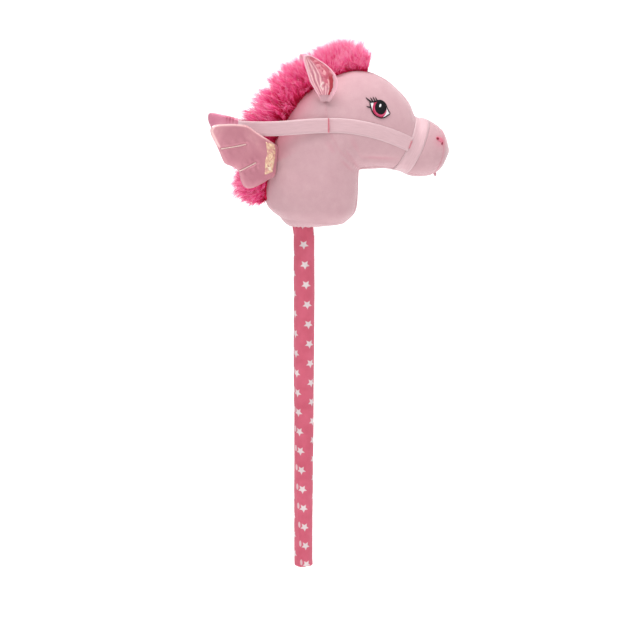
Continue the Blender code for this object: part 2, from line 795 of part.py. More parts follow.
def rein_half_width():
    """Half the distance between the rein's two sides, clear of the straps and of the plush it lifts past."""
    pivot_x, pivot_z = REIN_PIVOT
    end_radius = RIBBON_WIDTH / 2
    widest = 0.0
    for step in range(SWEEP_STEPS + 1):
        x = end_radius + pivot_x - (end_radius + pivot_x) * step / SWEEP_STEPS
        for rise in range(-1, SWEEP_STEPS):
            place, _ = side_hit(x, pivot_z + end_radius * rise, 1)
            if place:
                widest = max(widest, place.y)
    return widest + RIBBON_LIFT + RIBBON_THICKNESS + GAP


def rein_line():
    """The rein from the pivot round to the back: x, distance from the middle plane, and half height."""
    pivot_x = REIN_PIVOT[0]
    rear = pivot_x - mane_reach() - REIN_SLACK
    half = rein_half_width()
    end_radius = RIBBON_WIDTH / 2
    line = []
    for step in range(REIN_END_STEPS + 1):
        angle = math.pi / 2 * step / REIN_END_STEPS
        height = end_radius * math.sin(angle) + REIN_END_EDGE * (1 - math.sin(angle))
        line.append((pivot_x + end_radius * math.cos(angle), half, height))
    line.append((pivot_x / 2, half, end_radius))
    for step in range(REIN_STEPS + 1):
        angle = math.pi / 2 * step / REIN_STEPS
        x = rear * math.sin(angle)
        across = half * max(1 - math.sin(angle) ** 2, 0.0) ** REIN_TAPER
        line.append((x, across, end_radius))
    return line


def make_rein(material):
    hinge = add_hinge("rein_hinge", (REIN_PIVOT[0], 0, REIN_PIVOT[1]))
    side = rein_line()
    path = [(x, -across, height) for x, across, height in side]
    path += [(x, across, height) for x, across, height in side[-2::-1]]
    loops = []
    for index, (x, y, height) in enumerate(path):
        before = path[max(index - 1, 0)]
        after = path[min(index + 1, len(path) - 1)]
        along = Vector((after[0] - before[0], after[1] - before[1], 0)).normalized()
        outward = Vector((along.y, -along.x, 0))
        if outward.dot(Vector((min(x, 0.0), y, 0))) < 0:
            outward = -outward
        inner = Vector((x, y, REIN_PIVOT[1]))
        outer = inner + outward * RIBBON_THICKNESS
        rise = Vector((0, 0, height))
        loops.append([inner - rise, outer - rise, outer + rise, inner + rise])
    add_object("rein", *loft(loops), material, hinge)
    return rein_half_width() + RIBBON_THICKNESS


def make_bridle():
    ribbon = make_material("pale_ribbon", rgb(228, 194, 198), 0.5)
    thread = make_material("pink_thread", rgb(232, 120, 146), 0.6)
    lines = 7
    shifts = [RIBBON_WIDTH * (k / (lines - 1) - 0.5) for k in range(lines)]
    edges = [noseband_edge(shift, RIBBON_LIFT + RIBBON_THICKNESS) for shift in shifts]
    edges += [noseband_edge(shift, RIBBON_LIFT) for shift in reversed(shifts)]
    add_object("noseband", *loft(edges, wrap=True), ribbon)
    rein_outside = make_rein(ribbon)
    for name, side in (("left", 1), ("right", -1)):
        make_cheek_strap(f"cheek_strap_{name}", side, ribbon)
        x, z = REIN_PIVOT
        y = side * (rein_outside + GAP)
        bar = box_points(
            Vector((x, y + side * STITCH_THICKNESS / 2, z)),
            Vector((STITCH_WIDTH, STITCH_THICKNESS, RIBBON_WIDTH - 2 * STITCH_WIDTH)),
        )
        add_object(f"rein_stitch_{name}", *bar, thread, smooth=False)
        make_noseband_tack(f"noseband_tack_{name}", side, thread)


def box_points(centre, size):
    loops = []
    for z in (-0.5, 0.5):
        corners = ((-0.5, -0.5), (0.5, -0.5), (0.5, 0.5), (-0.5, 0.5))
        loops.append([centre + Vector((size.x * x, size.y * y, size.z * z)) for x, y in corners])
    return loft(loops)


def make_noseband_tack(name, side, material):
    """A short row of thread across the joint of cheek strap and noseband."""
    middle, rise, ahead = noseband_frame()
    x = cheek_strap_end(0.0)
    joint = Vector((x, 0, cheek_line(x)))
    lift = RIBBON_LIFT + RIBBON_THICKNESS + GAP
    loops = []
    for step in (-0.5, 0.0, 0.5):
        points = []
        for across, height in ((-0.5, 0), (0.5, 0), (0.5, 1), (-0.5, 1)):
            flat = joint + rise * (TACK_LENGTH * step) + ahead * (TACK_WIDTH * across)
            place, normal = side_hit(flat.x, flat.z, side)
            points.append(place + normal * (lift + height * THREAD_THICKNESS))
        loops.append(points)
    add_object(name, *loft(loops), material)


# Stitched eyes and nostrils


# Outlines in millimetres from the pupil's middle; a round one has its middle,
# half width and half height
EYE_OUTLINE = (
    (-14.3, 6.5), (-14.4, 4.0), (-13.8, 1.5), (-12.2, -4.5), (-9.4, -9.3), (-5.0, -12.9), (0.0, -14.7),
    (4.6, -14.5), (8.6, -12.3), (12.7, -9.3), (10.7, -5.4), (8.9, -1.0), (7.9, 3.2),
    (5.4, 6.9), (1.6, 9.3), (-2.4, 9.6), (-6.6, 8.4), (-10.6, 7.0),
)
IRIS = ((-1.6, -3.0), 9.0, 9.9)
PUPIL = ((-0.2, -0.3), 8.2, 9.4)
GLINT = ((-0.6, 1.8), 1.8, 2.7)
NOSTRIL_OUTLINE = (
    (79.0, -40.6), (81.5, -41.4), (85.2, -44.6), (88.4, -48.4), (89.6, -51.6),
    (87.4, -51.8), (84.6, -49.4), (80.8, -45.4), (78.6, -42.4),
)
STITCH_SHARES = (1.0, 0.62, 0.28)
LASH_TIPS = ((-19.5, 13.0), (-18.6, 1.6))


def stitched(name, outline, side, low, high, material):
    """A thread patch on the side of the head, from low to high above the plush, with a crowned middle."""
    count = len(outline)
    middle = Vector((sum(x for x, _ in outline) / count, sum(z for _, z in outline) / count))

    def lifted(share, height):
        loop = []
        for x, z in outline:
            flat = middle.lerp(Vector((x, z)), share) * MM
            place, normal = side_hit(EYE_PLACE[0] + flat.x, EYE_PLACE[1] + flat.y, side)
            loop.append(place + normal * height)
        return loop

    tips = []
    for height in (low, high):
        place, normal = side_hit(EYE_PLACE[0] + middle.x * MM, EYE_PLACE[1] + middle.y * MM, side)
        tips.append(place + normal * height)
    loops = [lifted(share, low) for share in reversed(STITCH_SHARES)]
    loops += [lifted(share, high) for share in STITCH_SHARES]
    add_object(name, *loft(loops, start_tip=tips[0], end_tip=tips[1]), material)


def ellipse(centre, half_width, half_height, samples=14):
    return tuple(
        (centre[0] + half_width * math.cos(angle), centre[1] + half_height * math.sin(angle))
        for angle in (2 * math.pi * k / samples for k in range(samples))
    )


def eye_line(side, material, name):
    """The dark line round the eye, with the long upper lash and the short lower one."""
    outline = [Vector(point) for point in EYE_OUTLINE]
    middle = sum(outline, Vector((0, 0))) / len(outline)
    inner = [point + (point - middle).normalized() * (GAP / MM) for point in outline]
    width = EYE_LINE_WIDTH / MM
    outer = [point + (point - middle).normalized() * width for point in inner]
    for tip in (Vector(place) for place in LASH_TIPS):
        nearest = min(range(len(outer)), key=lambda k: (outer[k] - tip).length)
        outer[nearest] = tip
    low = 2 * GAP
    high = low + 2 * THREAD_THICKNESS
    loops = []
    for loop, height in ((inner, low), (outer, low), (outer, high), (inner, high)):
        points = []
        for point in loop:
            place, normal = side_hit(EYE_PLACE[0] + point.x * MM, EYE_PLACE[1] + point.y * MM, side)
            points.append(place + normal * height)
        loops.append(points)
    add_object(name, *loft(loops, wrap=True), material)


def make_face():
    white = make_material("white_thread", rgb(236, 226, 230), 0.7)
    crimson = make_material("crimson_thread", rgb(196, 62, 98), 0.6)
    black = make_material("black_thread", rgb(26, 24, 28), 0.55)
    coral = make_material("coral_thread", rgb(226, 98, 116), 0.6)
    layer = THREAD_THICKNESS + GAP
    base = 2 * GAP
    for name, side in (("left", 1), ("right", -1)):
        layers = (
            ("white", EYE_OUTLINE, white),
            ("iris", ellipse(*IRIS), crimson),
            ("pupil", ellipse(*PUPIL), black),
            ("glint", ellipse(*GLINT), white),
        )
        for level, (layer_name, outline, thread) in enumerate(layers):
            low = base + level * layer
            stitched(f"eye_{name}_{layer_name}", outline, side, low, low + THREAD_THICKNESS, thread)
        eye_line(side, black, f"eye_{name}_outline")
        stitched(f"nostril_{name}", NOSTRIL_OUTLINE, side, base, base + 2 * THREAD_THICKNESS, coral)


# Wings


# Outline of a wing in millimetres: distance back from its root, and height above the root's middle
WING_OUTLINE = (
    (0, 19), (1, 8), (2, -4), (5, -19), (16, -24), (30, -30), (44, -34), (53, -32), (60, -23), (64, -9),
    (74, -3), (85, 2), (91, 16), (96, 26), (104, 40), (105, 48), (100, 53), (81, 54), (62, 53), (48, 50),
    (36, 42), (22, 34), (8, 26),
)
ROOT_TRIES = 16
WING_MIDDLE = (52, 10)
WING_LOOPS = (1.0, 0.93, 0.80, 0.55, 0.25)
PATCH_OUTLINE = ((20, 25), (9, 19), (8, 6), (13, -14), (24, -16), (22, -2))


def wing_thickness(share, half):
    """Half thickness of the padded wing at a loop: thin at the edge and full in the middle."""
    edge = WING_EDGE_THICKNESS / 2
    return edge + (half - edge) * math.sqrt(max(1 - share**4, 0.0))


def wing_place(side, root_y, back, height, across):
    """A point of a wing: back from its root, up from the root's middle, and across toward its outer face."""
    direction = Vector((-math.cos(WING_FLARE), side * math.sin(WING_FLARE), 0))
    outward = Vector((math.sin(WING_FLARE), side * math.cos(WING_FLARE), 0))
    root = Vector((WING_ROOT[0], side * root_y, WING_ROOT[1]))
    return root + direction * back + Vector((0, 0, height)) + outward * across


def wing_loops(side, root_y, shares, sign, sunk):
    """Loops of one face of a wing, from the edge inward, sunk below the padded face."""
    half = WING_THICKNESS / 2
    loops = []
    for share in shares:
        across = sign * (wing_thickness(share, half) - sunk)
        loop = []
        for back, height in WING_OUTLINE:
            x = (WING_MIDDLE[0] + (back - WING_MIDDLE[0]) * share) * MM
            z = (WING_MIDDLE[1] + (height - WING_MIDDLE[1]) * share) * MM
            loop.append(wing_place(side, root_y, x, z, across))
        loops.append(loop)
    return loops


def wing_middle(side, root_y, across):
    return wing_place(side, root_y, WING_MIDDLE[0] * MM, WING_MIDDLE[1] * MM, across)


def room_to_neck(side, root_y):
    """Least room between the wing's edge and the neck, negative where the edge lies inside it."""
    room = FAR_OUT
    for sign in (1, -1):
        for point in wing_loops(side, root_y, WING_LOOPS[:1], sign, 0.0)[0]:
            place, _, _, distance = SURFACE.find_nearest(point)
            outward = place - Vector((0, 0, place.z))
            inside = (point - place).dot(outward) < 0
            room = min(room, -distance if inside else distance)
    return room


def wing_root_y(side):
    """How far out the wing's root lies, with its edge just off the neck."""
    near = 0.0
    far = NECK_HALF_WIDTH
    for _ in range(ROOT_TRIES):
        middle = (near + far) / 2
        if room_to_neck(side, middle) < GAP:
            near = middle
        else:
            far = middle
    return far


def make_wing(name, side):
    satin = make_material(f"wing_{name}_satin", rgb(206, 136, 152), 0.3, 0.5)
    lining = make_material(f"wing_{name}_lining", rgb(220, 136, 166), 0.3, 0.5)
    wadding = make_material(f"wing_{name}_fill", rgb(242, 240, 238), 0.95)
    foil = make_material(f"wing_{name}_foil", rgb(226, 184, 164), 0.3, 0.5)
    root_y = wing_root_y(side)
    hinge_place = wing_place(side, root_y, 0.0, 0.0, WING_EDGE_THICKNESS / 2)
    hinge = add_hinge(f"wing_{name}_hinge", hinge_place)
    half = WING_THICKNESS / 2
    core = WING_SKIN + GAP
    inner_shares = WING_LOOPS[1:]
    for face, sign, material in (("front", 1, satin), ("back", -1, lining)):
        outer = wing_loops(side, root_y, WING_LOOPS, sign, 0.0)
        inner = wing_loops(side, root_y, inner_shares, sign, WING_SKIN)
        seam = [wing_edge(side, root_y, share, sign) for share in WING_LOOPS[:2]]
        start = wing_middle(side, root_y, sign * wing_thickness(0, half))
        end = wing_middle(side, root_y, sign * (wing_thickness(0, half) - WING_SKIN))
        skin = loft(outer[::-1] + seam + inner, start_tip=start, end_tip=end)
        add_object(f"wing_{name}_{face}", *skin, material, hinge)
    top = wing_loops(side, root_y, inner_shares, 1, core)
    bottom = wing_loops(side, root_y, inner_shares, -1, core)
    rim = [moved_toward(point, wing_middle(side, root_y, 0), 2 * GAP) for point in top[0]]
    low_rim = [moved_toward(point, wing_middle(side, root_y, 0), 2 * GAP) for point in bottom[0]]
    filling = bottom[:0:-1] + [low_rim, rim] + top[1:]
    tips = [wing_middle(side, root_y, sign * (wing_thickness(0, half) - core)) for sign in (-1, 1)]
    add_object(f"wing_{name}_wadding", *loft(filling, start_tip=tips[0], end_tip=tips[1]), wadding, hinge)
    make_patch(f"wing_{name}_patch", side, root_y, foil, hinge)


def wing_edge(side, root_y, share, sign):
    """The line where a wing's two skins meet, with a little room between them."""
    loop = []
    for back, height in WING_OUTLINE:
        x = (WING_MIDDLE[0] + (back - WING_MIDDLE[0]) * share) * MM
        z = (WING_MIDDLE[1] + (height - WING_MIDDLE[1]) * share) * MM
        loop.append(wing_place(side, root_y, x, z, sign * GAP / 2))
    return loop


def wing_face_height(back, height):
    """How far the padded face stands from the wing's middle plane at this place."""
    reach = 0.0
    middle = Vector(WING_MIDDLE)
    point = Vector((back, height))
    away = point - middle
    count = len(WING_OUTLINE)
    for k in range(count):
        start = Vector(WING_OUTLINE[k]) - middle
        end = Vector(WING_OUTLINE[(k + 1) % count]) - middle
        edge = end - start
        cross = away.x * edge.y - away.y * edge.x
        if abs(cross) < 1e-9:
            continue
        along = (start.x * edge.y - start.y * edge.x) / cross
        on_edge = (start.x * away.y - start.y * away.x) / cross
        if along > 0 and 0 <= on_edge <= 1:
            reach = max(reach, 1 / along)
    return wing_thickness(min(reach, 1.0), WING_THICKNESS / 2)


def make_patch(name, side, root_y, material, hinge):
    count = len(PATCH_OUTLINE)
    middle = [sum(point[axis] for point in PATCH_OUTLINE) / count for axis in (0, 1)]
    low = GAP
    loops = []
    for share, lift in ((0.5, low), (1.0, low), (1.0, low + PATCH_THICKNESS), (0.5, low + PATCH_THICKNESS)):
        loop = []
        for back, height in PATCH_OUTLINE:
            x = middle[0] + (back - middle[0]) * share
            z = middle[1] + (height - middle[1]) * share
            loop.append(wing_place(side, root_y, x * MM, z * MM, wing_face_height(x, z) + lift + GAP))
        loops.append(loop)
    add_object(name, *loft(loops), material, hinge)


clear_scene()
make_stick()
make_stuffing()
make_cover()
make_mane()
make_ears()
make_bridle()
make_face()
make_wing("left", 1)
make_wing("right", -1)
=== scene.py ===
import math

import bmesh
import bpy
import numpy as np
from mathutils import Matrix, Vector, noise
from mathutils.bvhtree import BVHTree
from mathutils.geometry import delaunay_2d_cdt


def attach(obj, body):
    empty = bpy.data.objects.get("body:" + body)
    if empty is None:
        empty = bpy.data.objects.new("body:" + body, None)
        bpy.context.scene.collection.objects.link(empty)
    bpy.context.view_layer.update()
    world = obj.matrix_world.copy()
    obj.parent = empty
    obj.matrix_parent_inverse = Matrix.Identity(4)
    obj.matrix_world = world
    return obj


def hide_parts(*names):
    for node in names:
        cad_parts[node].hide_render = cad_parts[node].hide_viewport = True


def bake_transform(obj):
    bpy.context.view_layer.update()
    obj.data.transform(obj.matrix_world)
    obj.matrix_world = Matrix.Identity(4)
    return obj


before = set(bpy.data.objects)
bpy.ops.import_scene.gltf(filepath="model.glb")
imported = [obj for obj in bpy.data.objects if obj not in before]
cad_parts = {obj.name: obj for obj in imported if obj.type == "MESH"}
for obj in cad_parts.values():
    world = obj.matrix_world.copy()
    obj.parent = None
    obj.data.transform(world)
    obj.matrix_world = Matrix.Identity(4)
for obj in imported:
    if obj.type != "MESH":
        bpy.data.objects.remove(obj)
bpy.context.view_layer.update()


# Camera, floor and lights
#
# The toy is photographed from its right side and a little above, on white paper under
# wide soft lamps. The paper curves up behind it.

CAMERA_PLACE = (-0.1266, -2.1579, 0.7636)
CAMERA_TILT = 79.5
CAMERA_TURN = -4.0
CAMERA_LENS = 87.15

view = bpy.data.cameras.new("studio_camera")
view.lens = CAMERA_LENS
view.sensor_width = 36.0
view.clip_end = 30.0
camera = bpy.data.objects.new("studio_camera", view)
camera.location = CAMERA_PLACE
camera.rotation_euler = (math.radians(CAMERA_TILT), 0.0, math.radians(CAMERA_TURN))
bpy.context.scene.collection.objects.link(camera)
bpy.context.scene.camera = camera
bpy.context.scene.view_settings.view_transform = "Standard"


def screen_colour(red, green, blue):
    """A colour from its 0 to 255 screen values, as linear light."""
    linear = []
    for part in (red / 255, green / 255, blue / 255):
        linear.append(part / 12.92 if part <= 0.04045 else ((part + 0.055) / 1.055) ** 2.4)
    return (*linear, 1.0)


def feed(socket, value):
    """Fills a socket with another node's output, a number, or a colour as its screen values."""
    if isinstance(value, bpy.types.NodeSocket):
        socket.id_data.links.new(value, socket)
    elif socket.type == "RGBA":
        socket.default_value = screen_colour(*value)
    else:
        socket.default_value = value


def add_node(tree, kind, values=None, **settings):
    """A shader node with its settings, and with its sockets filled by name or number."""
    made = tree.nodes.new("ShaderNode" + kind)
    for key, value in settings.items():
        setattr(made, key, value)
    for key, value in (values or {}).items():
        feed(made.inputs[key], value)
    return made


def new_material(name, **values):
    """A material and its Principled shader, with the shader's own sockets set by name."""
    material = bpy.data.materials.new(name)
    material.use_nodes = True
    shader = material.node_tree.nodes["Principled BSDF"]
    for key, value in values.items():
        feed(shader.inputs[key.replace("_", " ")], value)
    return material, shader


def paint(shader, colour):
    feed(shader.inputs["Base Color"], colour)


def grid_faces(rows, columns, start=0):
    """Faces of a sheet whose points lie in rows."""
    faces = []
    for i in range(rows - 1):
        for k in range(columns - 1):
            corner = start + i * columns + k
            faces.append((corner, corner + 1, corner + columns + 1, corner + columns))
    return faces


def add_piece(name, points, faces, material, turned_out=True):
    """One smooth mesh object in the toy's own frame, with its faces turned outward."""
    mesh = bpy.data.meshes.new(name)
    mesh.from_pydata([tuple(point) for point in points], [], [tuple(face) for face in faces])
    if turned_out:
        shape = bmesh.new()
        shape.from_mesh(mesh)
        bmesh.ops.recalc_face_normals(shape, faces=shape.faces)
        shape.to_mesh(mesh)
        shape.free()
    mesh.update()
    mesh.shade_smooth()
    mesh.materials.append(material)
    piece = bpy.data.objects.new(name, mesh)
    bpy.context.scene.collection.objects.link(piece)
    return piece


PAPER_GLOW = 0.93
paper, paper_shader = new_material(
    "white_paper", Roughness=0.9, Emission_Color=(255, 255, 255), Emission_Strength=PAPER_GLOW,
)
paper_grain = add_node(paper.node_tree, "TexNoise", {"Scale": 40.0, "Detail": 3.0})
paper_tint = add_node(paper.node_tree, "MapRange", {0: paper_grain.outputs["Fac"], 3: 0.40, 4: 0.44})
paper_parts = dict.fromkeys(("Red", "Green", "Blue"), paper_tint.outputs[0])
paint(paper_shader, add_node(paper.node_tree, "CombineColor", paper_parts).outputs[0])

SWEEP_FRONT = -3.0
SWEEP_BACK = 2.2
SWEEP_RADIUS = 1.2
SWEEP_STEPS = 12
SWEEP_HEIGHT = 5.0
SWEEP_WIDTH = 4.5
sweep = [(SWEEP_FRONT, 0.0), (SWEEP_BACK, 0.0)]
for step in range(1, SWEEP_STEPS + 1):
    angle = math.pi / 2 * step / SWEEP_STEPS
    sweep.append((SWEEP_BACK + SWEEP_RADIUS * math.sin(angle), SWEEP_RADIUS * (1 - math.cos(angle))))
sweep.append((SWEEP_BACK + SWEEP_RADIUS, SWEEP_HEIGHT))
paper_points = [(x, y, z) for y, z in sweep for x in (-SWEEP_WIDTH, SWEEP_WIDTH)]
add_piece("studio_paper", paper_points, grid_faces(len(sweep), 2), paper)

ROOM_LIGHT = 0.33
world = bpy.data.worlds.new("studio_white")
world.use_nodes = True
room = world.node_tree.nodes["Background"]
feed(room.inputs["Color"], (255, 255, 255))
feed(room.inputs["Strength"], ROOM_LIGHT)
bpy.context.scene.world = world

# Each lamp: its place, what it is turned toward, its width and height in metres, and its power
for name, place, aim, (width, height), power in (
    ("top_lamp", (-0.2, -0.32, 2.4), (0.05, 0.0, 0.5), (1.8, 1.4), 48.0),
    ("front_lamp", (1.25, -2.15, 1.3), (0.05, 0.0, 0.5), (1.3, 1.3), 13.6),
    ("side_lamp", (-1.9, -1.0, 1.1), (0.0, 0.0, 0.55), (0.9, 1.4), 4.4),
):
    lamp = bpy.data.lights.new(name, "AREA")
    lamp.shape = "RECTANGLE"
    lamp.size = width
    lamp.size_y = height
    lamp.energy = power
    item = bpy.data.objects.new(name, lamp)
    item.location = place
    item.rotation_euler = (Vector(aim) - Vector(place)).to_track_quat("-Z", "Y").to_euler()
    bpy.context.scene.collection.objects.link(item)


# Stick: dowel, caps and tie
#
# A beech dowel carries a thin moulded cap at its foot and a rounded one inside the
# stuffing, and a nylon tie clamps the neck's hem on it. The cloth hides all four.

def dress(node, material):
    """A carried-over CAD node gets its finish."""
    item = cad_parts[node]
    item.data.materials.clear()
    item.data.materials.append(material)


def own_place(shader):
    """Each point's place in its piece's own frame."""
    return add_node(shader.id_data, "TexCoord").outputs["Object"]


def stretched(place, *scale):
    """A place with each of its axes scaled."""
    return add_node(place.id_data, "Mapping", {"Vector": place, "Scale": scale}).outputs[0]


def speckle(place, scale, detail=2.0, **more):
    """Noise over a place, from 0 to 1."""
    values = {"Vector": place, "Scale": scale, "Detail": detail, **more}
    return add_node(place.id_data, "TexNoise", values).outputs["Fac"]


def ramp(factor, *stops):
    """A colour that runs with a factor through stops of (place, screen colour)."""
    made = add_node(factor.id_data, "ValToRGB", {"Fac": factor})
    elements = made.color_ramp.elements
    while len(elements) < len(stops):
        elements.new(0.5)
    for element, (place, colour) in zip(elements, stops):
        element.position = place
        element.color = screen_colour(*colour)
    return made.outputs["Color"]


beech, beech_shader = new_material("beech", Roughness=0.55)
beech_lines = speckle(stretched(own_place(beech_shader), 1.0, 1.0, 0.04), 900.0, 4.0)
paint(beech_shader, ramp(beech_lines, (0.0, (186, 140, 92)), (1.0, (226, 192, 146))))
dress("stick_dowel", beech)

moulded, moulded_shader = new_material("moulded_cap", Roughness=0.45)
moulded_cloud = speckle(own_place(moulded_shader), 120.0)
paint(moulded_shader, ramp(moulded_cloud, (0.0, (226, 222, 214)), (1.0, (242, 240, 234))))
for cap in ("foot_cap", "dowel_head_cap", "neck_tie"):
    dress(cap, moulded)


# Sleeve of the stick
#
# A tube of pink printed cotton pulled over the dowel and folded in under its foot. White
# stars stand in four rows round it, and the rows drift round the stick toward the foot.

NECK_BASE = 0.500
SLEEVE_TOP = NECK_BASE + 0.060
SLEEVE_FOOT = 0.0009
SLEEVE_FOOT_RADIUS = 0.0129
SLEEVE_NECK_RADIUS = 0.01395
SLEEVE_WALL = 0.0006
SLEEVE_SIDES = 96
SLEEVE_STEP = 0.0025
# The folded foot, from its middle outward: share of the radius, and rise
FOLD_RINGS = ((0.12, 0.0006), (0.45, 0.0001), (0.75, 0.0), (0.93, 0.0), (0.985, 0.0002))
# The stars, in millimetres, and how many degrees a row drifts with each of them
STAR_PITCH = 28.4
STAR_ROWS = 4
STAR_ROW_WIDTH = math.tau * SLEEVE_NECK_RADIUS * 970 / STAR_ROWS
STAR_DRIFT = 0.225
STAR_START = (1.6, 472.6)
STAR_RADIUS = 6.3
STAR_WAIST = 3.1


def maths(operation, *values):
    """The result of one sum on sockets or numbers."""
    tree = next(value.id_data for value in values if isinstance(value, bpy.types.NodeSocket))
    return add_node(tree, "Math", dict(enumerate(values)), operation=operation).outputs[0]


def plus(first, second):
    return maths("ADD", first, second)


def minus(first, second):
    return maths("SUBTRACT", first, second)


def times(first, second):
    return maths("MULTIPLY", first, second)


def over(first, second):
    return maths("DIVIDE", first, second)


def eased(value, start, end, low=0.0, high=1.0):
    """Runs softly from low to high while a value goes from start to end."""
    values = {0: value, 1: start, 2: end, 3: low, 4: high}
    return add_node(value.id_data, "MapRange", values, interpolation_type="SMOOTHSTEP").outputs[0]


def parts_of(vector):
    """The x, y and z of a vector."""
    return add_node(vector.id_data, "SeparateXYZ", {0: vector}).outputs


def blended(factor, first, second):
    """One colour laid over another by a factor."""
    return add_node(factor.id_data, "Mix", {0: factor, 6: first, 7: second}, data_type="RGBA").outputs[2]


def new_group(name, inputs, outputs):
    """A node group over a place, with what comes into it and what goes out of it."""
    tree = bpy.data.node_groups.new(name, "ShaderNodeTree")
    tree.interface.new_socket("Place", in_out="INPUT", socket_type="NodeSocketVector")
    for label, default in inputs.items():
        kind = "Color" if isinstance(default, tuple) else "Float"
        socket = tree.interface.new_socket(label, in_out="INPUT", socket_type="NodeSocket" + kind)
        socket.default_value = default
    for label, kind in outputs.items():
        tree.interface.new_socket(label, in_out="OUTPUT", socket_type="NodeSocket" + kind)
    return tree.nodes.new("NodeGroupInput").outputs, tree.nodes.new("NodeGroupOutput").inputs, tree


def use_group(group, place, **values):
    """A node group laid over a place, with its other sockets filled by name."""
    made = place.id_data.nodes.new("ShaderNodeGroup")
    made.node_tree = group
    for key, value in {"Place": place, **values}.items():
        feed(made.inputs[key.replace("_", " ")], value)
    return made.outputs


def bump(shader, height, distance, strength=1.0):
    values = {"Height": height, "Distance": distance, "Strength": strength}
    feed(shader.inputs["Normal"], add_node(shader.id_data, "Bump", values).outputs[0])


# Plain weave: crossing threads as a height, and a slow cloudiness in the dye
weave_in, weave_out, weave = new_group(
    "plain_weave", {"Threads per metre": 2500.0}, {"Height": "Float", "Cloud": "Float"},
)
weave_x, _, weave_z = parts_of(weave_in["Place"])
weave_warp = maths("SINE", times(weave_x, weave_in["Threads per metre"]))
weave_weft = maths("SINE", times(weave_z, weave_in["Threads per metre"]))
feed(weave_out["Height"], times(weave_warp, weave_weft))
feed(weave_out["Cloud"], speckle(weave_in["Place"], 55.0, 5.0))

cotton, cotton_shader = new_material("star_cotton", Roughness=0.88, Sheen_Weight=0.15, Sheen_Roughness=0.5)
cotton_place = own_place(cotton_shader)
cotton_x, cotton_y, cotton_z = parts_of(cotton_place)
turn = maths("DEGREES", maths("ARCTAN2", cotton_x, times(cotton_y, -1.0)))
below = minus(STAR_START[1], times(cotton_z, 1000.0))
row = over(minus(minus(turn, STAR_START[0]), times(below, STAR_DRIFT)), 360.0 / STAR_ROWS)
row_number = maths("ROUND", row)
across = times(minus(row, row_number), STAR_ROW_WIDTH)
stagger = times(maths("FLOORED_MODULO", row_number, 2.0), 0.5)
place_in_row = minus(over(below, STAR_PITCH), stagger)
along = times(minus(place_in_row, maths("ROUND", place_in_row)), STAR_PITCH)
star_sector = math.tau / 5
folded = maths("FLOORED_MODULO", plus(maths("ARCTAN2", across, along), star_sector / 2), star_sector)
folded = maths("ABSOLUTE", minus(folded, star_sector / 2))
reach = maths("SQRT", plus(times(across, across), times(along, along)))
edge_x = STAR_WAIST * math.cos(math.pi / 5) - STAR_RADIUS
edge_y = STAR_WAIST * math.sin(math.pi / 5)
edge_length = math.hypot(edge_x, edge_y)
outside_x = minus(times(reach, maths("COSINE", folded)), STAR_RADIUS)
outside_y = times(reach, maths("SINE", folded))
beyond = plus(times(outside_x, edge_y / edge_length), times(outside_y, -edge_x / edge_length))
# Beside one row the lapped seam shows a sliver of the stars it cuts
cut_across = over(plus(across, 7.6), 1.6)
cut_along = over(plus(along, 3.4), 4.6)
cut_star = eased(plus(times(cut_across, cut_across), times(cut_along, cut_along)), 1.2, 0.7, high=0.7)
cut_row = maths("COMPARE", row_number, -1.0, 0.1)
printed = maths("MAXIMUM", eased(beyond, 0.6, -0.5), times(cut_star, cut_row))
cotton_weave = use_group(weave, cotton_place, Threads_per_metre=9000.0)
cotton_pink = ramp(cotton_weave["Cloud"], (0.3, (196, 82, 105)), (0.7, (208, 96, 120)))
star_white = ramp(cotton_weave["Cloud"], (0.35, (212, 194, 197)), (0.65, (226, 210, 211)))
paint(cotton_shader, blended(printed, cotton_pink, star_white))
bump(cotton_shader, cotton_weave["Height"], 0.00006, 0.6)


def bell(value, width):
    """1 at zero, falling off to both sides over a width."""
    return np.exp(-((value / width) ** 2))


def between(value, start, end):
    """How far a value is on its way from start to end, from 0 to 1."""
    return np.clip((value - start) / (end - start), 0.0, 1.0)


def ring_faces(rings, sides, start=0):
    """Faces of a tube whose points lie in rings, one after another."""
    faces = []
    for here in range(start, start + (rings - 1) * sides, sides):
        for k in range(sides):
            after = (k + 1) % sides
            faces.append((here + k, here + after, here + sides + after, here + sides + k))
    return faces


def fan_faces(middle, start, sides):
    """Faces from a middle point to a ring round it."""
    return [(middle, start + (k + 1) % sides, start + k) for k in range(sides)]


def thicken(piece, wall):
    """A sheet gets the thickness of its cloth, inward."""
    cloth = piece.modifiers.new("cloth", "SOLIDIFY")
    cloth.thickness = wall
    cloth.offset = -1.0


def sleeve_skin(height, angle):
    """Outer radius of the sleeve: looser toward the neck, with slack folds and a lapped seam."""
    share = min(height / NECK_BASE, 1.0)
    radius = SLEEVE_FOOT_RADIUS + (SLEEVE_NECK_RADIUS - SLEEVE_FOOT_RADIUS) * share
    x = math.cos(angle)
    y = math.sin(angle)
    slack = 0.00030 * noise.noise(Vector((x * 1.6, y * 1.6, height * 22.0)))
    ripple = 0.00016 * noise.noise(Vector((x * 1.2, y * 1.2, height * 90.0 + 7.0)))
    gather = 0.00035 * bell(NECK_BASE - height, 0.012) * math.cos(angle * 13)
    past_seam = (angle - math.radians(249 - 225 * height) + math.pi) % math.tau - math.pi
    seam = 0.0007 * bell(past_seam, 0.10) - 0.0004 * bell(past_seam - 0.17, 0.05)
    foot = 0.00045 * bell(height, 0.006) * math.cos(angle * 3 + 0.7)
    return radius + slack + ripple + gather + seam + foot


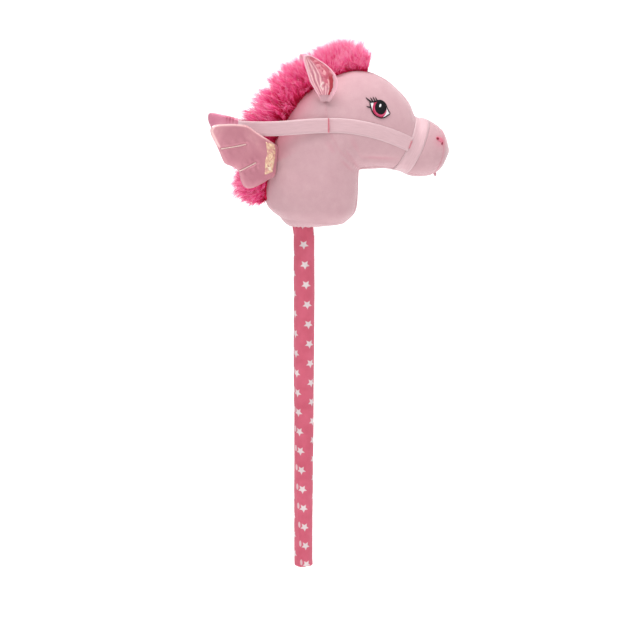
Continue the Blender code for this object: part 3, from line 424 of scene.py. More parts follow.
# The foot is folded in: four flaps that meet under the cap, with a crease between each two
sleeve_angles = [math.tau * k / SLEEVE_SIDES for k in range(SLEEVE_SIDES)]
sleeve_points = [(0.0, 0.0, 0.0008)]
for share, rise in FOLD_RINGS:
    for angle in sleeve_angles:
        radius = sleeve_skin(SLEEVE_FOOT, angle) * share
        crease = 0.0007 * abs(math.sin(angle * 2 + 0.4)) ** 12
        sleeve_points.append((radius * math.cos(angle), radius * math.sin(angle), rise + crease))
for height in np.arange(SLEEVE_FOOT, SLEEVE_TOP, SLEEVE_STEP):
    slack = between(height, 0.05, 0.35) * between(height, NECK_BASE - 0.004, NECK_BASE - 0.016)
    for angle in sleeve_angles:
        radius = sleeve_skin(height, angle) + 0.0004 + 0.0005 * slack
        sleeve_points.append((radius * math.cos(angle) + 0.0018 * slack, radius * math.sin(angle), height))
sleeve_faces = fan_faces(0, 1, SLEEVE_SIDES)
sleeve_faces += ring_faces(len(sleeve_points) // SLEEVE_SIDES, SLEEVE_SIDES, start=1)
sleeve = add_piece("star_sleeve", sleeve_points, sleeve_faces, cotton)
thicken(sleeve, SLEEVE_WALL)
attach(sleeve, "head_and_stick")
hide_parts("stick_sleeve")


# Stuffing
#
# Fibre filling fills the neck, the head and the muzzle. It is packed through the neck's
# base round the dowel, and the cover hides it.

fibre, fibre_shader = new_material("fibre_filling", Roughness=0.95, Sheen_Weight=0.3)
fibre_cloud = speckle(own_place(fibre_shader), 260.0, 6.0, Distortion=1.5)
paint(fibre_shader, ramp(fibre_cloud, (0.3, (224, 222, 220)), (0.7, (250, 249, 248))))
bump(fibre_shader, fibre_cloud, 0.0012)
for part in ("neck_stuffing", "head_stuffing", "muzzle_stuffing"):
    dress(part, fibre)


# Plush cover of neck and head
#
# Nine panels of pale pink short-pile plush, sewn inside out and turned: two neck sides,
# two face sides, gussets on nape, crown, jaw and throat, and a nose. The stuffing swells
# them between the seams, which pull in and pucker.

PLUSH_SECTIONS = np.array((
    # back x, back z, front x, front z, half width, in millimetres above the neck's base
    (-31.0, 10.0, 58.0, 2.0, 39.96),
    (-49.0, 26.0, 73.0, 18.0, 50.76),
    (-53.0, 50.0, 77.0, 45.0, 54.0),
    (-48.0, 82.0, 77.5, 64.0, 53.46),
    (-43.0, 128.0, 78.3, 73.5, 52.38),
    (-8.0, 181.0, 80.0, 75.8, 51.0),
    (38.0, 204.0, 84.0, 76.6, 50.0),
    (78.0, 213.0, 96.0, 77.2, 49.0),
    (114.0, 200.5, 114.0, 78.0, 46.5),
    (145.0, 172.3, 134.0, 74.5, 39.5),
    (157.0, 149.0, 149.0, 68.0, 35.55),
    (172.0, 145.6, 163.0, 66.2, 37.0),
    (191.0, 134.0, 180.5, 68.8, 33.0),
    (199.6, 120.8, 193.0, 78.3, 26.4),
    (203.4, 107.4, 201.8, 94.5, 11.22),
))
SIDE_FULLNESS = 0.85
CHEEK_EGG = 0.10
GUSSET_HALF_WIDTH = 18.0
# The mane's strip and the crown's gusset: place along the toy, half the width there
TOP_HALF_WIDTHS = (
    (1.0, 14.0), (2.3, 15.0), (3.2, 21.0), (3.8, 23.0), (4.8, 23.0), (5.4, 19.0), (6.2, 8.0), (7.4, 5.5),
    (8.4, 13.0), (9.5, 18.0),
)
NOSE_SECTION = 12.1
NOSE_SEAM_BOW = 0.45
LAST_SECTION = 14.0
# The seam from ear to throat, as places along the toy from the crown's seam down to the jaw's
THROAT_SEAM = (
    (0.0, 5.7), (0.2, 5.6), (0.3, 5.42), (0.41, 5.15), (0.5, 4.95), (0.65, 4.72), (0.8, 4.8), (1.0, 5.0),
)
COVER_THICKNESS = 1.6
COVER_SPACING = 1.5
MANE_START = 1.46
SEAM_GAP = 0.01
PUCKER_LENGTH = 6.5


def table_at(table, place):
    """The value at a place, from rows of (place, value)."""
    return np.interp(place, *zip(*table))


def unit(vectors):
    return vectors / np.maximum(np.linalg.norm(vectors, axis=-1, keepdims=True), 1e-9)


def curve_at(before, start, end, after, share):
    """A smooth curve through four places, at a share of the way from the second to the third."""
    square = share**2
    cube = square * share
    leave = (end - before) / 2
    arrive = (after - start) / 2
    return (
        start * (2 * cube - 3 * square + 1) + leave * (cube - 2 * square + share)
        + end * (3 * square - 2 * cube) + arrive * (cube - square)
    )


def plush_sections(along):
    """The section table at fractional places along the toy, neck base to nose, as a smooth curve."""
    along = np.clip(np.asarray(along, float), 0.0, LAST_SECTION)
    first = np.minimum(along.astype(int), int(LAST_SECTION) - 1)
    four = [PLUSH_SECTIONS.take(first + k, axis=0, mode="clip") for k in (-1, 0, 1, 2)]
    return curve_at(*four, (along - first)[..., None])


def plush_points(along, turn):
    """Points of the plush in millimetres. turn runs from 0 at the back or top, over the left side."""
    table = plush_sections(along)
    turn = np.asarray(turn, float)
    lean = np.cos(turn)
    side = np.sin(turn)
    middle = (table[..., 0:2] + table[..., 2:4]) / 2
    reach = (table[..., 0:2] - table[..., 2:4]) / 2
    width = table[..., 4] * np.abs(side) ** SIDE_FULLNESS * (1 - CHEEK_EGG * lean) * np.sign(side)
    flat = middle + reach * lean[..., None]
    return np.stack([flat[..., 0], width, flat[..., 1] + NECK_BASE * 1000], axis=-1)


def seam_turn(along, half_width=GUSSET_HALF_WIDTH):
    """The turn at which the gussets' seams run."""
    half = plush_sections(along)[..., 4]
    share = np.minimum(half_width / half, 0.8)
    return np.arcsin(share ** (1 / SIDE_FULLNESS))


def top_turn(along):
    """The turn of the seams beside the mane and the crown's gusset."""
    return seam_turn(along, table_at(TOP_HALF_WIDTHS, along))


def plush_normals(along, turn):
    """Outward directions of the plush."""
    step = 0.02
    ahead = plush_points(along + step, turn) - plush_points(along - step, turn)
    return unit(np.cross(ahead, plush_points(along, turn + step) - plush_points(along, turn - step)))


def cloud(points, scale, seed=0.0):
    """Smooth lumps over points in millimetres, from -1 to 1."""
    flat = points.reshape(-1, 3)
    shift = Vector((seed, seed * 1.7, -seed))
    values = [noise.noise(Vector(point) / scale + shift) for point in flat]
    return np.array(values).reshape(points.shape[:-1])


def uv_of(shader, name):
    return add_node(shader.id_data, "UVMap", uv_map=name).outputs["UV"]


# Short pile: mottled lay of the fibres as a colour and a height
pile_in, pile_out, pile = new_group(
    "short_pile", {"Shade": (0.5, 0.3, 0.35, 1.0), "Light": (0.9, 0.6, 0.65, 1.0)},
    {"Color": "Color", "Height": "Float"},
)
pile_lay = speckle(pile_in["Place"], 70.0, 6.0, Roughness=0.62)
pile_tufts = speckle(pile_in["Place"], 950.0, 3.0, Distortion=0.8)
pile_fibres = speckle(pile_in["Place"], 2600.0)
pile_mix = plus(times(pile_lay, 0.6), times(pile_tufts, 0.4))
pile_spread = add_node(pile, "MapRange", {0: pile_mix, 1: 0.25, 2: 0.75}).outputs[0]
feed(pile_out["Color"], blended(pile_spread, pile_in["Shade"], pile_in["Light"]))
feed(pile_out["Height"], plus(pile_tufts, times(pile_fibres, 0.6)))

plush, plush_shader = new_material(
    "pale_pink_plush", Roughness=0.82, Sheen_Weight=0.85, Sheen_Roughness=0.4, Sheen_Tint=(255, 238, 241),
    Specular_IOR_Level=0.2,
)
plush_pile = use_group(pile, own_place(plush_shader), Shade=(192, 151, 158), Light=(205, 167, 173))
# Painted shade and light: the map's first value paints pinker shade into the seams, the creases and round the
# nostrils, and the mane's reflected colour beside its seam; its second value paints light on the ears and the
# jaw's wisp
plush_shade_and_bounce, plush_lit, _ = parts_of(uv_of(plush_shader, "drawn_in"))
plush_tinted = blended(plush_shade_and_bounce, plush_pile["Color"], (208, 124, 142))
paint(plush_shader, blended(plush_lit, plush_tinted, (244, 186, 200)))
bump(plush_shader, plush_pile["Height"], 0.0005, 0.55)

# Creases where the jaw is drawn up to the throat, and the pull of the jaw's seam: seen from
# the side, from and to in millimetres, with their width and depth
CREASES = (
    ((62.0, 628.0), (79.0, 588.0), 4.4, 0.6),
    ((54.0, 609.0), (77.0, 578.0), 3.4, 1.4),
    ((74.0, 572.0), (48.0, 596.0), 4.0, 1.1),
    ((28.0, 622.0), (44.0, 598.0), 5.0, 0.6),
    ((72.0, 597.0), (134.0, 593.0), 3.0, 0.9),
)
DEEPEST = 1.5
NOSTRIL_SHADE_PLACE = (189.5, 617.0)


def nostril_painted_shade(points):
    """How much painted pinker shade lies round the nostrils, where the plush dimples in."""
    away = np.hypot(points[..., 0] - NOSTRIL_SHADE_PLACE[0], points[..., 2] - NOSTRIL_SHADE_PLACE[1])
    return 0.55 * bell(away, 8.5) * (np.abs(points[..., 1]) > 8.0)


def painted_mane_bounce(points, along, from_seam):
    """How much of the mane's colour is painted on the plush beside its seam, as painted light reflected from
    the mane.
    """
    x, z = points[..., 0], points[..., 2]
    nape = np.exp(-(((along - 4.2) / 1.3) ** 4))
    beside = bell(from_seam, 8.0 + 20.0 * nape) * (x < 92.0) * (z > 530.0)
    behind = x * 0.55 - (z - 640.0) < 30.0
    return (0.36 + 0.40 * nape) * beside * behind * (along > 1.3) * (along < 7.4)


def crease_depth(points):
    """How deep the creases are at each point."""
    depth = np.zeros(points.shape[:-1])
    for start, end, width, full in CREASES:
        run = np.subtract(end, start)
        flat = points[..., (0, 2)] - start
        share = np.clip(flat @ run / (run @ run), 0.0, 1.0)
        away = np.linalg.norm(flat - share[..., None] * run, axis=-1)
        fade = np.sin(np.pi * np.clip(share, 0.06, 0.94))
        valley = bell(away, width) - 0.7 * bell(away - 2.1 * width, width)
        depth += full * fade * valley * between(np.abs(points[..., 1]), 6.0, 14.0)
    return depth


# Where the ribbons lie the plush is pressed down. The noseband's ring passes over the nose
# and under the jaw and bows forward at the sides.
RIBBON_WIDTH = 20.0
STRAP_POINTS = ((32.5, 640.0), (84.0, 635.0), (146.5, 612.5))
NOSEBAND_TOP = (166.0, 646.0)
NOSEBAND_BOTTOM = (134.5, 574.5)
NOSEBAND_BOW = 3.4
noseband_top = np.array((NOSEBAND_TOP[0], 0.0, NOSEBAND_TOP[1]))
noseband_bottom = np.array((NOSEBAND_BOTTOM[0], 0.0, NOSEBAND_BOTTOM[1]))
ring_middle = (noseband_top + noseband_bottom) / 2
ring_up = unit(noseband_top - noseband_bottom)
ring_ahead = np.array([ring_up[2], 0.0, -ring_up[0]])


def strap_height(x):
    """Height of the cheek strap's middle, seen from the side: one bow through its three points."""
    return np.polyval(np.polyfit(*zip(*STRAP_POINTS), 2), x)


def soft_edge(value, width):
    """Falls from 1 to 0 as a value passes zero, over a width."""
    return 1 / (1 + np.exp(value / width))


def ribbon_press(points):
    """How far the ribbons press the plush down."""
    from_ring = points - ring_middle
    up = from_ring @ ring_up
    aside = from_ring[..., 1]
    sideways = aside**2 / np.maximum(up**2 + aside**2, 1e-6)
    ahead = from_ring @ ring_ahead - NOSEBAND_BOW * sideways
    band = soft_edge(np.abs(ahead) - RIBBON_WIDTH / 2 - 0.4, 0.45)
    x = points[..., 0]
    strap = soft_edge(np.abs(points[..., 2] - strap_height(x)) - RIBBON_WIDTH / 2 - 0.4, 0.45)
    strap = strap * soft_edge(33.0 - x, 0.8) * soft_edge(x - 150.0, 2.0) * (np.abs(points[..., 1]) > 15.0)
    return np.maximum(0.6 * band, 0.45 * strap)


def shell_faces(faces, count):
    """Faces of a closed shell from one skin's faces, with count points to a skin."""
    border = {}
    for face in faces:
        for here, after in zip(face, face[1:] + face[:1]):
            if (after, here) in border:
                del border[(after, here)]
            else:
                border[(here, after)] = True
    both = list(faces) + [tuple(corner + count for corner in face[::-1]) for face in faces]
    return both + [(after, here, here + count, after + count) for here, after in border]


def closed_panel(outer, inner, hoop=False):
    """Points and faces of a panel with an outer and an inner skin, joined round its edge.

    The last row of a hoop is its first row again.
    """
    rows, columns = outer.shape[:2]
    count = (rows - 1 if hoop else rows) * columns
    faces = [tuple(corner % count for corner in face) for face in grid_faces(rows, columns)]
    points = np.concatenate([skin.reshape(-1, 3)[:count] for skin in (outer, inner)])
    return points, shell_faces(faces, count)


def arc_lengths(points, axis):
    """Distances of each grid point from both ends of its line along one axis."""
    steps = np.linalg.norm(np.diff(points, axis=axis), axis=-1)
    pad = [(0, 0), (0, 0)]
    pad[axis] = (1, 0)
    run = np.pad(np.cumsum(steps, axis=axis), pad)
    whole = np.take(run, [-1], axis=axis)
    return run, whole - run


def way_length(along, turn):
    """How long a line of places on the plush is."""
    return np.linalg.norm(np.diff(plush_points(along, turn), axis=0), axis=-1).sum()


def add_uv(piece, name, first, second):
    """Two values at each point of a piece, as a UV map. Values for one skin serve the next one too."""
    count = len(piece.data.vertices)
    values = np.stack([np.resize(first, count), np.resize(second, count)], axis=-1)
    corners = np.empty(len(piece.data.loops), dtype=np.int32)
    piece.data.loops.foreach_get("vertex_index", corners)
    layer = piece.data.uv_layers.new(name=name)
    layer.data.foreach_set("uv", values[corners].astype(float).ravel())


plush_skins = []


def cover_panel(name, node, start, end, turn_range, seed, lumps=0.7, first_seam=1.0):
    """A swelled panel of plush between its seams, which it meets with a rolled edge.

    start and end give the place along the toy of each end's seam, at shares across the panel.
    first_seam is how strongly the first end is drawn in.
    """
    first_place = float(start(0.5))
    last_place = float(end(0.5))
    middle = (first_place + last_place) / 2
    low, high = turn_range(middle)
    length = way_length(np.linspace(first_place, last_place, 40), (low + high) / 2)
    width = way_length(middle, np.linspace(low, high, 40))
    rows = max(int(length / COVER_SPACING), 12)
    columns = max(int(width / COVER_SPACING), 10)
    share = np.linspace(0.0, 1.0, columns)[None, :]
    run = np.linspace(0.0, 1.0, rows)[:, None]
    along = start(share) * (1 - run) + end(share) * run
    low, high = turn_range(along)
    turn = low * (1 - share) + high * share
    grid = plush_points(along, turn)
    normals = plush_normals(along, turn)
    first, last = arc_lengths(grid, 0)
    left, right = arc_lengths(grid, 1)
    ends = np.minimum(first + 12.0 * (1 - first_seam), last)
    sides = np.minimum(left, right)
    edge = np.minimum(ends, sides)
    seam_run = np.where(sides < ends, first, left)
    pucker = np.sin(seam_run / PUCKER_LENGTH * math.tau + 2.0 * cloud(grid, 18.0, seed + 3))
    pucker = pucker * bell(edge - 3.5, 4.0)
    dip = np.maximum(bell(sides, 1.8), 0.5 * bell(ends, 2.2))
    creases = crease_depth(grid)
    lift = 0.5 * (1 - np.exp(-edge / 14.0)) - 0.42 * dip + 0.22 * pucker
    lift += lumps * cloud(grid, 34.0, seed) + 0.25 * cloud(grid, 11.0, seed + 9)
    lift = np.maximum(lift - creases - ribbon_press(grid), -DEEPEST)
    outer = grid + normals * lift[..., None]
    for skin in (outer, outer.transpose(1, 0, 2)):
        for border, beside in ((0, 1), (-1, -2)):
            skin[border] += unit(skin[beside] - skin[border]) * SEAM_GAP
    inner_lift = np.minimum(lift - 0.3, np.maximum(lift - COVER_THICKNESS, -DEEPEST - 0.3))
    inner = grid + normals * inner_lift[..., None]
    points, faces = closed_panel(outer / 1000, inner / 1000)
    plush_skins.append((outer.reshape(-1, 3) / 1000, grid_faces(rows, columns)))
    piece = add_piece(name, points, faces, plush)
    piece.data.set_sharp_from_angle(angle=1.0)
    # Painted shade: pinker in the seams' dips, in the creases and round the nostrils; painted reflected
    # light: the mane's colour beside its seam
    drawn_in = 0.25 * dip + 0.26 * np.clip(creases, 0.0, 1.5) + nostril_painted_shade(grid) + painted_mane_bounce(grid, along, sides)
    add_uv(piece, "drawn_in", np.clip(drawn_in, 0.0, 0.75), 0.0)
    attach(piece, "head_and_stick")
    if node:
        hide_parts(node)


def left_side(along):
    return top_turn(along), math.pi - seam_turn(along)


def right_side(along):
    return math.pi + seam_turn(along), math.tau - top_turn(along)


def over_top(along):
    return -top_turn(along), top_turn(along)


def underneath(along):
    return math.pi - seam_turn(along), math.pi + seam_turn(along)


def straight_seam(place):
    return lambda share: place + 0.0 * np.asarray(share, float)


def throat_seam(share):
    return table_at(THROAT_SEAM, share)


def throat_seam_from_jaw(share):
    return throat_seam(1.0 - np.asarray(share, float))


def nose_seam_at(turn):
    """Place of the nose's seam: it bows forward on both sides, under the nostrils."""
    return NOSE_SECTION + NOSE_SEAM_BOW * np.sin(turn) ** 2


def nose_seam(turns):
    low, high = turns(np.array(NOSE_SECTION))
    return lambda share: nose_seam_at(low + (high - low) * np.asarray(share, float))


base_seam = straight_seam(0.0)
for side_name, turns, seam, seed in (
    ("left", left_side, throat_seam, 5.0), ("right", right_side, throat_seam_from_jaw, 1.0),
):
    neck_node = f"neck_side_{side_name}"
    cover_panel(f"plush_neck_{side_name}", neck_node, base_seam, seam, turns, seed, first_seam=0.0)
    cover_panel(f"plush_face_{side_name}", f"face_side_{side_name}", seam, nose_seam(turns), turns, seed + 2)
mane_seam = straight_seam(MANE_START + 0.12)
jaw_seam = straight_seam(5.0)
crown_seam = straight_seam(7.3)
cover_panel("plush_nape", None, base_seam, mane_seam, over_top, 6.0, first_seam=0.0, lumps=0.3)
cover_panel("plush_throat", "throat_gusset", base_seam, jaw_seam, underneath, 8.0, first_seam=0.0)
cover_panel("plush_jaw", "jaw_gusset", jaw_seam, nose_seam(underneath), underneath, 9.0, lumps=0.4)
cover_panel("plush_crown", "crown_gusset", crown_seam, nose_seam(over_top), over_top, 11.0, lumps=0.4)

# The nose panel closes the muzzle with a crowned end
NOSE_ROWS = 22
NOSE_COLUMNS = 96
NOSE_CROWN = ((0.72, 1.0), (0.4, 1.5), (0.15, 1.7))
NOSE_TIP_RISE = 1.8
nose_turn = np.tile(np.linspace(0.0, math.tau, NOSE_COLUMNS, endpoint=False), (NOSE_ROWS, 1))
nose_start = nose_seam_at(nose_turn)
nose_along = nose_start + (LAST_SECTION - nose_start) * np.linspace(0.0, 1.0, NOSE_ROWS)[:, None]
nose_grid = plush_points(nose_along, nose_turn)
nose_edge = arc_lengths(nose_grid, 0)[0]
nose_lift = 0.4 - 0.82 * bell(nose_edge, 1.8) + 0.3 * cloud(nose_grid, 20.0, 4.0)
nose_lift -= crease_depth(nose_grid) + ribbon_press(nose_grid)
nose_grid = nose_grid + plush_normals(nose_along, nose_turn) * nose_lift[..., None]
nose_middle = nose_grid[-1].mean(axis=0)
nose_run = PLUSH_SECTIONS[-1, 0:4] - PLUSH_SECTIONS[-2, 0:4]
nose_axis = unit(np.array((nose_run[0] + nose_run[2], 0.0, nose_run[1] + nose_run[3])))
nose_rings = list(nose_grid)
for share, rise in NOSE_CROWN:
    nose_rings.append(nose_middle + (nose_grid[-1] - nose_middle) * share + nose_axis * rise)
nose_points = np.concatenate([*nose_rings, [nose_middle + nose_axis * NOSE_TIP_RISE]])
nose_tip = len(nose_points) - 1
nose_faces = ring_faces(len(nose_rings), NOSE_COLUMNS)
nose_faces += fan_faces(nose_tip, nose_tip - NOSE_COLUMNS, NOSE_COLUMNS)
plush_skins.append((nose_grid.reshape(-1, 3) / 1000, ring_faces(NOSE_ROWS, NOSE_COLUMNS)))
nose = add_piece("plush_nose", nose_points / 1000, nose_faces, plush)
# Painted shade: pinker along the nose's seam and round the nostrils
nose_painted_shade = 0.35 * bell(nose_edge, 2.4) + nostril_painted_shade(nose_grid)
add_uv(nose, "drawn_in", np.pad(nose_painted_shade.ravel(), (0, len(nose_points) - nose_painted_shade.size)), 0.0)
thicken(nose, COVER_THICKNESS / 1000)
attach(nose, "head_and_stick")
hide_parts("nose_panel")


# Neck's base
#
# A round panel of the same plush closes the neck. Its middle is drawn up into a collar
# round the stick by the hidden tie, so it is gathered there and full near its rim.

BASE_SIDES = 144
BASE_LEVEL = 498.0
COLLAR_RADIUS = 14.7
COLLAR_LEVELS = (502.0, 506.0, 512.0, 520.0)
BASE_THICKNESS = 0.0011
# The base's rings: share of the way from rim to collar, how far each is tucked in, and its pleats
BASE_RINGS = (
    (0.0, 1.3, 0.0), (0.02, 0.9, 0.0), (0.06, 0.7, 0.0), (0.12, 0.4, 0.05), (0.20, 0.0, 0.1),
    (0.32, 0.0, 0.2), (0.46, 0.0, 0.4), (0.60, 0.0, 0.7), (0.74, 0.0, 1.0), (0.86, 0.0, 1.2),
    (0.94, 0.0, 1.3),
)

rim_turn = np.linspace(0.0, math.tau, BASE_SIDES, endpoint=False)
base_rim = plush_points(np.zeros(BASE_SIDES), rim_turn)
base_normals = plush_normals(np.zeros(BASE_SIDES), rim_turn)
base_angle = np.arctan2(base_rim[:, 1], base_rim[:, 0])
base_out = np.stack([np.cos(base_angle), np.sin(base_angle), np.zeros(BASE_SIDES)], axis=-1)
base_hole = base_out * COLLAR_RADIUS + (0.0, 0.0, 500.6)
base_loops = []
for share, tuck, pleat in BASE_RINGS:
    loop = base_rim * (1 - share) + base_hole * share - base_normals * tuck
    fall = share**1.1
    loop[:, 2] = loop[:, 2] * (1 - fall) + (BASE_LEVEL + 8.0 * max(share - 0.8, 0.0)) * fall
    loop[:, 2] += pleat * 0.5 * np.sin(base_angle * 17 + 0.8 * np.sin(base_angle * 3))
    base_loops.append(loop)
collar_radius = COLLAR_RADIUS + 0.5 * np.abs(np.sin(base_angle * 8.5 + 0.4 * np.sin(base_angle * 3)))
for height in COLLAR_LEVELS:
    base_loops.append(base_out * collar_radius[:, None] + (0.0, 0.0, height))
base_faces = ring_faces(len(base_loops), BASE_SIDES)
base = add_piece("plush_base", np.concatenate(base_loops) / 1000, base_faces, plush)
thicken(base, BASE_THICKNESS)
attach(base, "head_and_stick")
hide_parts("neck_base_panel")


# Mane and forelock
#
# Long-pile cerise fur cloth, sewn as a strip into the neck's back seam and over the poll,
# with a second tuft in front of the ears. The pile is brushed up into pointed tufts, dark
# at its roots, partly as painted shade deep in the pile, and paler at its tips.

MANE_RISE = (
    (1.3, 0.42), (1.6, 0.80), (2.0, 1.04), (2.5, 1.20), (3.0, 1.20), (3.5, 1.18), (4.0, 1.20), (4.5, 1.20),
    (5.0, 1.12), (5.5, 1.08), (6.0, 1.12),
)
FORELOCK_RISE = ((6.0, 1.12), (6.5, 1.12), (7.0, 0.96), (7.5, 0.55))
MANE_PILE = 42.0
MANE_SPREAD = (
    (0.0, 0.12), (2.0, 0.20), (3.0, 0.45), (3.5, 0.80), (4.0, 1.0), (4.5, 1.0), (5.0, 0.9), (5.5, 0.7),
    (6.0, 0.55), (7.5, 0.3),
)
MANE_LEAN = ((0.0, -0.30), (2.0, -0.15), (4.0, -0.06), (6.0, 0.0))
FORELOCK_LEAN = ((6.0, 0.0), (6.8, 0.02), (7.4, 0.0))
STRAND_STEPS = 3
STRAND_WIDTH = 0.85
# The rein's loop and the wings' roots, which hold the pile back
REIN_HALF_WIDTH = 53.6
REIN_REAR = -88.7
REIN_TAPER = 0.75
WING_ROOT = (-36.0, 29.34, 590.0)
WING_FLARE = math.radians(32)

fur, fur_shader = new_material(
    "cerise_pile", Roughness=0.6, Sheen_Weight=0.12, Sheen_Roughness=0.4, Sheen_Tint=(255, 190, 214),
    Specular_IOR_Level=0.2, Emission_Strength=0.14,
)
# The strands' colours run darker toward the roots, partly as painted shade deep in the pile, and paler toward
# the tips; the first value, random tone with painted light and shade, picks between deep and pale colours and
# the wisps
fur_tone_and_shade, fur_length, _ = parts_of(uv_of(fur_shader, "strand"))
fur_deep = ramp(
    fur_length, (0.0, (138, 2, 34)), (0.3, (188, 9, 56)), (0.62, (222, 44, 116)), (0.84, (236, 98, 164)),
    (1.0, (244, 170, 198)),
)
fur_pale = ramp(
    fur_length, (0.0, (184, 9, 54)), (0.3, (224, 34, 96)), (0.56, (246, 92, 164)), (0.74, (250, 158, 206)),
    (0.9, (250, 212, 226)), (1.0, (250, 226, 232)),
)
fur_wisp = ramp(
    fur_length, (0.0, (222, 50, 112)), (0.5, (246, 112, 166)), (0.8, (248, 170, 202)), (1.0, (246, 214, 226)),
)
fur_colour = blended(eased(fur_tone_and_shade, 0.86, 0.96), blended(fur_tone_and_shade, fur_deep, fur_pale), fur_wisp)
paint(fur_shader, fur_colour)
# Painted light: the pile glows faintly in its own colour, standing in for light passing through it
feed(fur_shader.inputs["Emission Color"], fur_colour)


def pile_axes(along):
    """Directions out of the strip of fur and toward the nose, at places along the toy."""
    table = plush_sections(along)
    x, z = unit(table[:, 0:2] - table[:, 2:4]).T
    level = np.zeros(len(table))
    return np.stack([x, level, z], axis=-1), np.stack([z, level, -x], axis=-1)


def held_back(points):
    """Presses the pile inside the rein's loop and between the wings."""
    x, y, z = points[..., 0], points[..., 1], points[..., 2]
    loop = REIN_HALF_WIDTH * (1 - np.clip(x / REIN_REAR, 0.0, 0.98) ** 2) ** REIN_TAPER - 1.4
    room = np.where(np.abs(z - 639.0) < 17.0, loop, 90.0)
    gap = WING_ROOT[1] + math.tan(WING_FLARE) * (WING_ROOT[0] - x) - 7.0
    room = np.where((np.abs(z - 600.0) < 52.0) & (x < WING_ROOT[0]), np.minimum(room, gap), room)
    points[..., 1] = np.clip(y, -room, room)
    points[..., 0] = np.where(np.abs(z - 636.0) < 15.0, np.maximum(x, REIN_REAR + 2.1), x)


def fur_tips(rise, place, across, fan, tilt, size):
    """Roots and tips of strands, and the directions out of the strip there."""
    out, nose = pile_axes(place)
    spread = table_at(MANE_SPREAD, place)
    root = plush_points(place, across * (top_turn(place) + 0.16 * spread))
    full = table_at(rise, place) * MANE_PILE * size
    angle = across * 1.25 + fan
    tip = root + out * (full * np.maximum(np.cos(angle), 0.12))[:, None]
    tip[:, 1] += (8.0 + 18.0 * spread) * size * np.sin(angle) * 0.75
    tip += nose * (full * tilt)[:, None]
    return root, tip, out


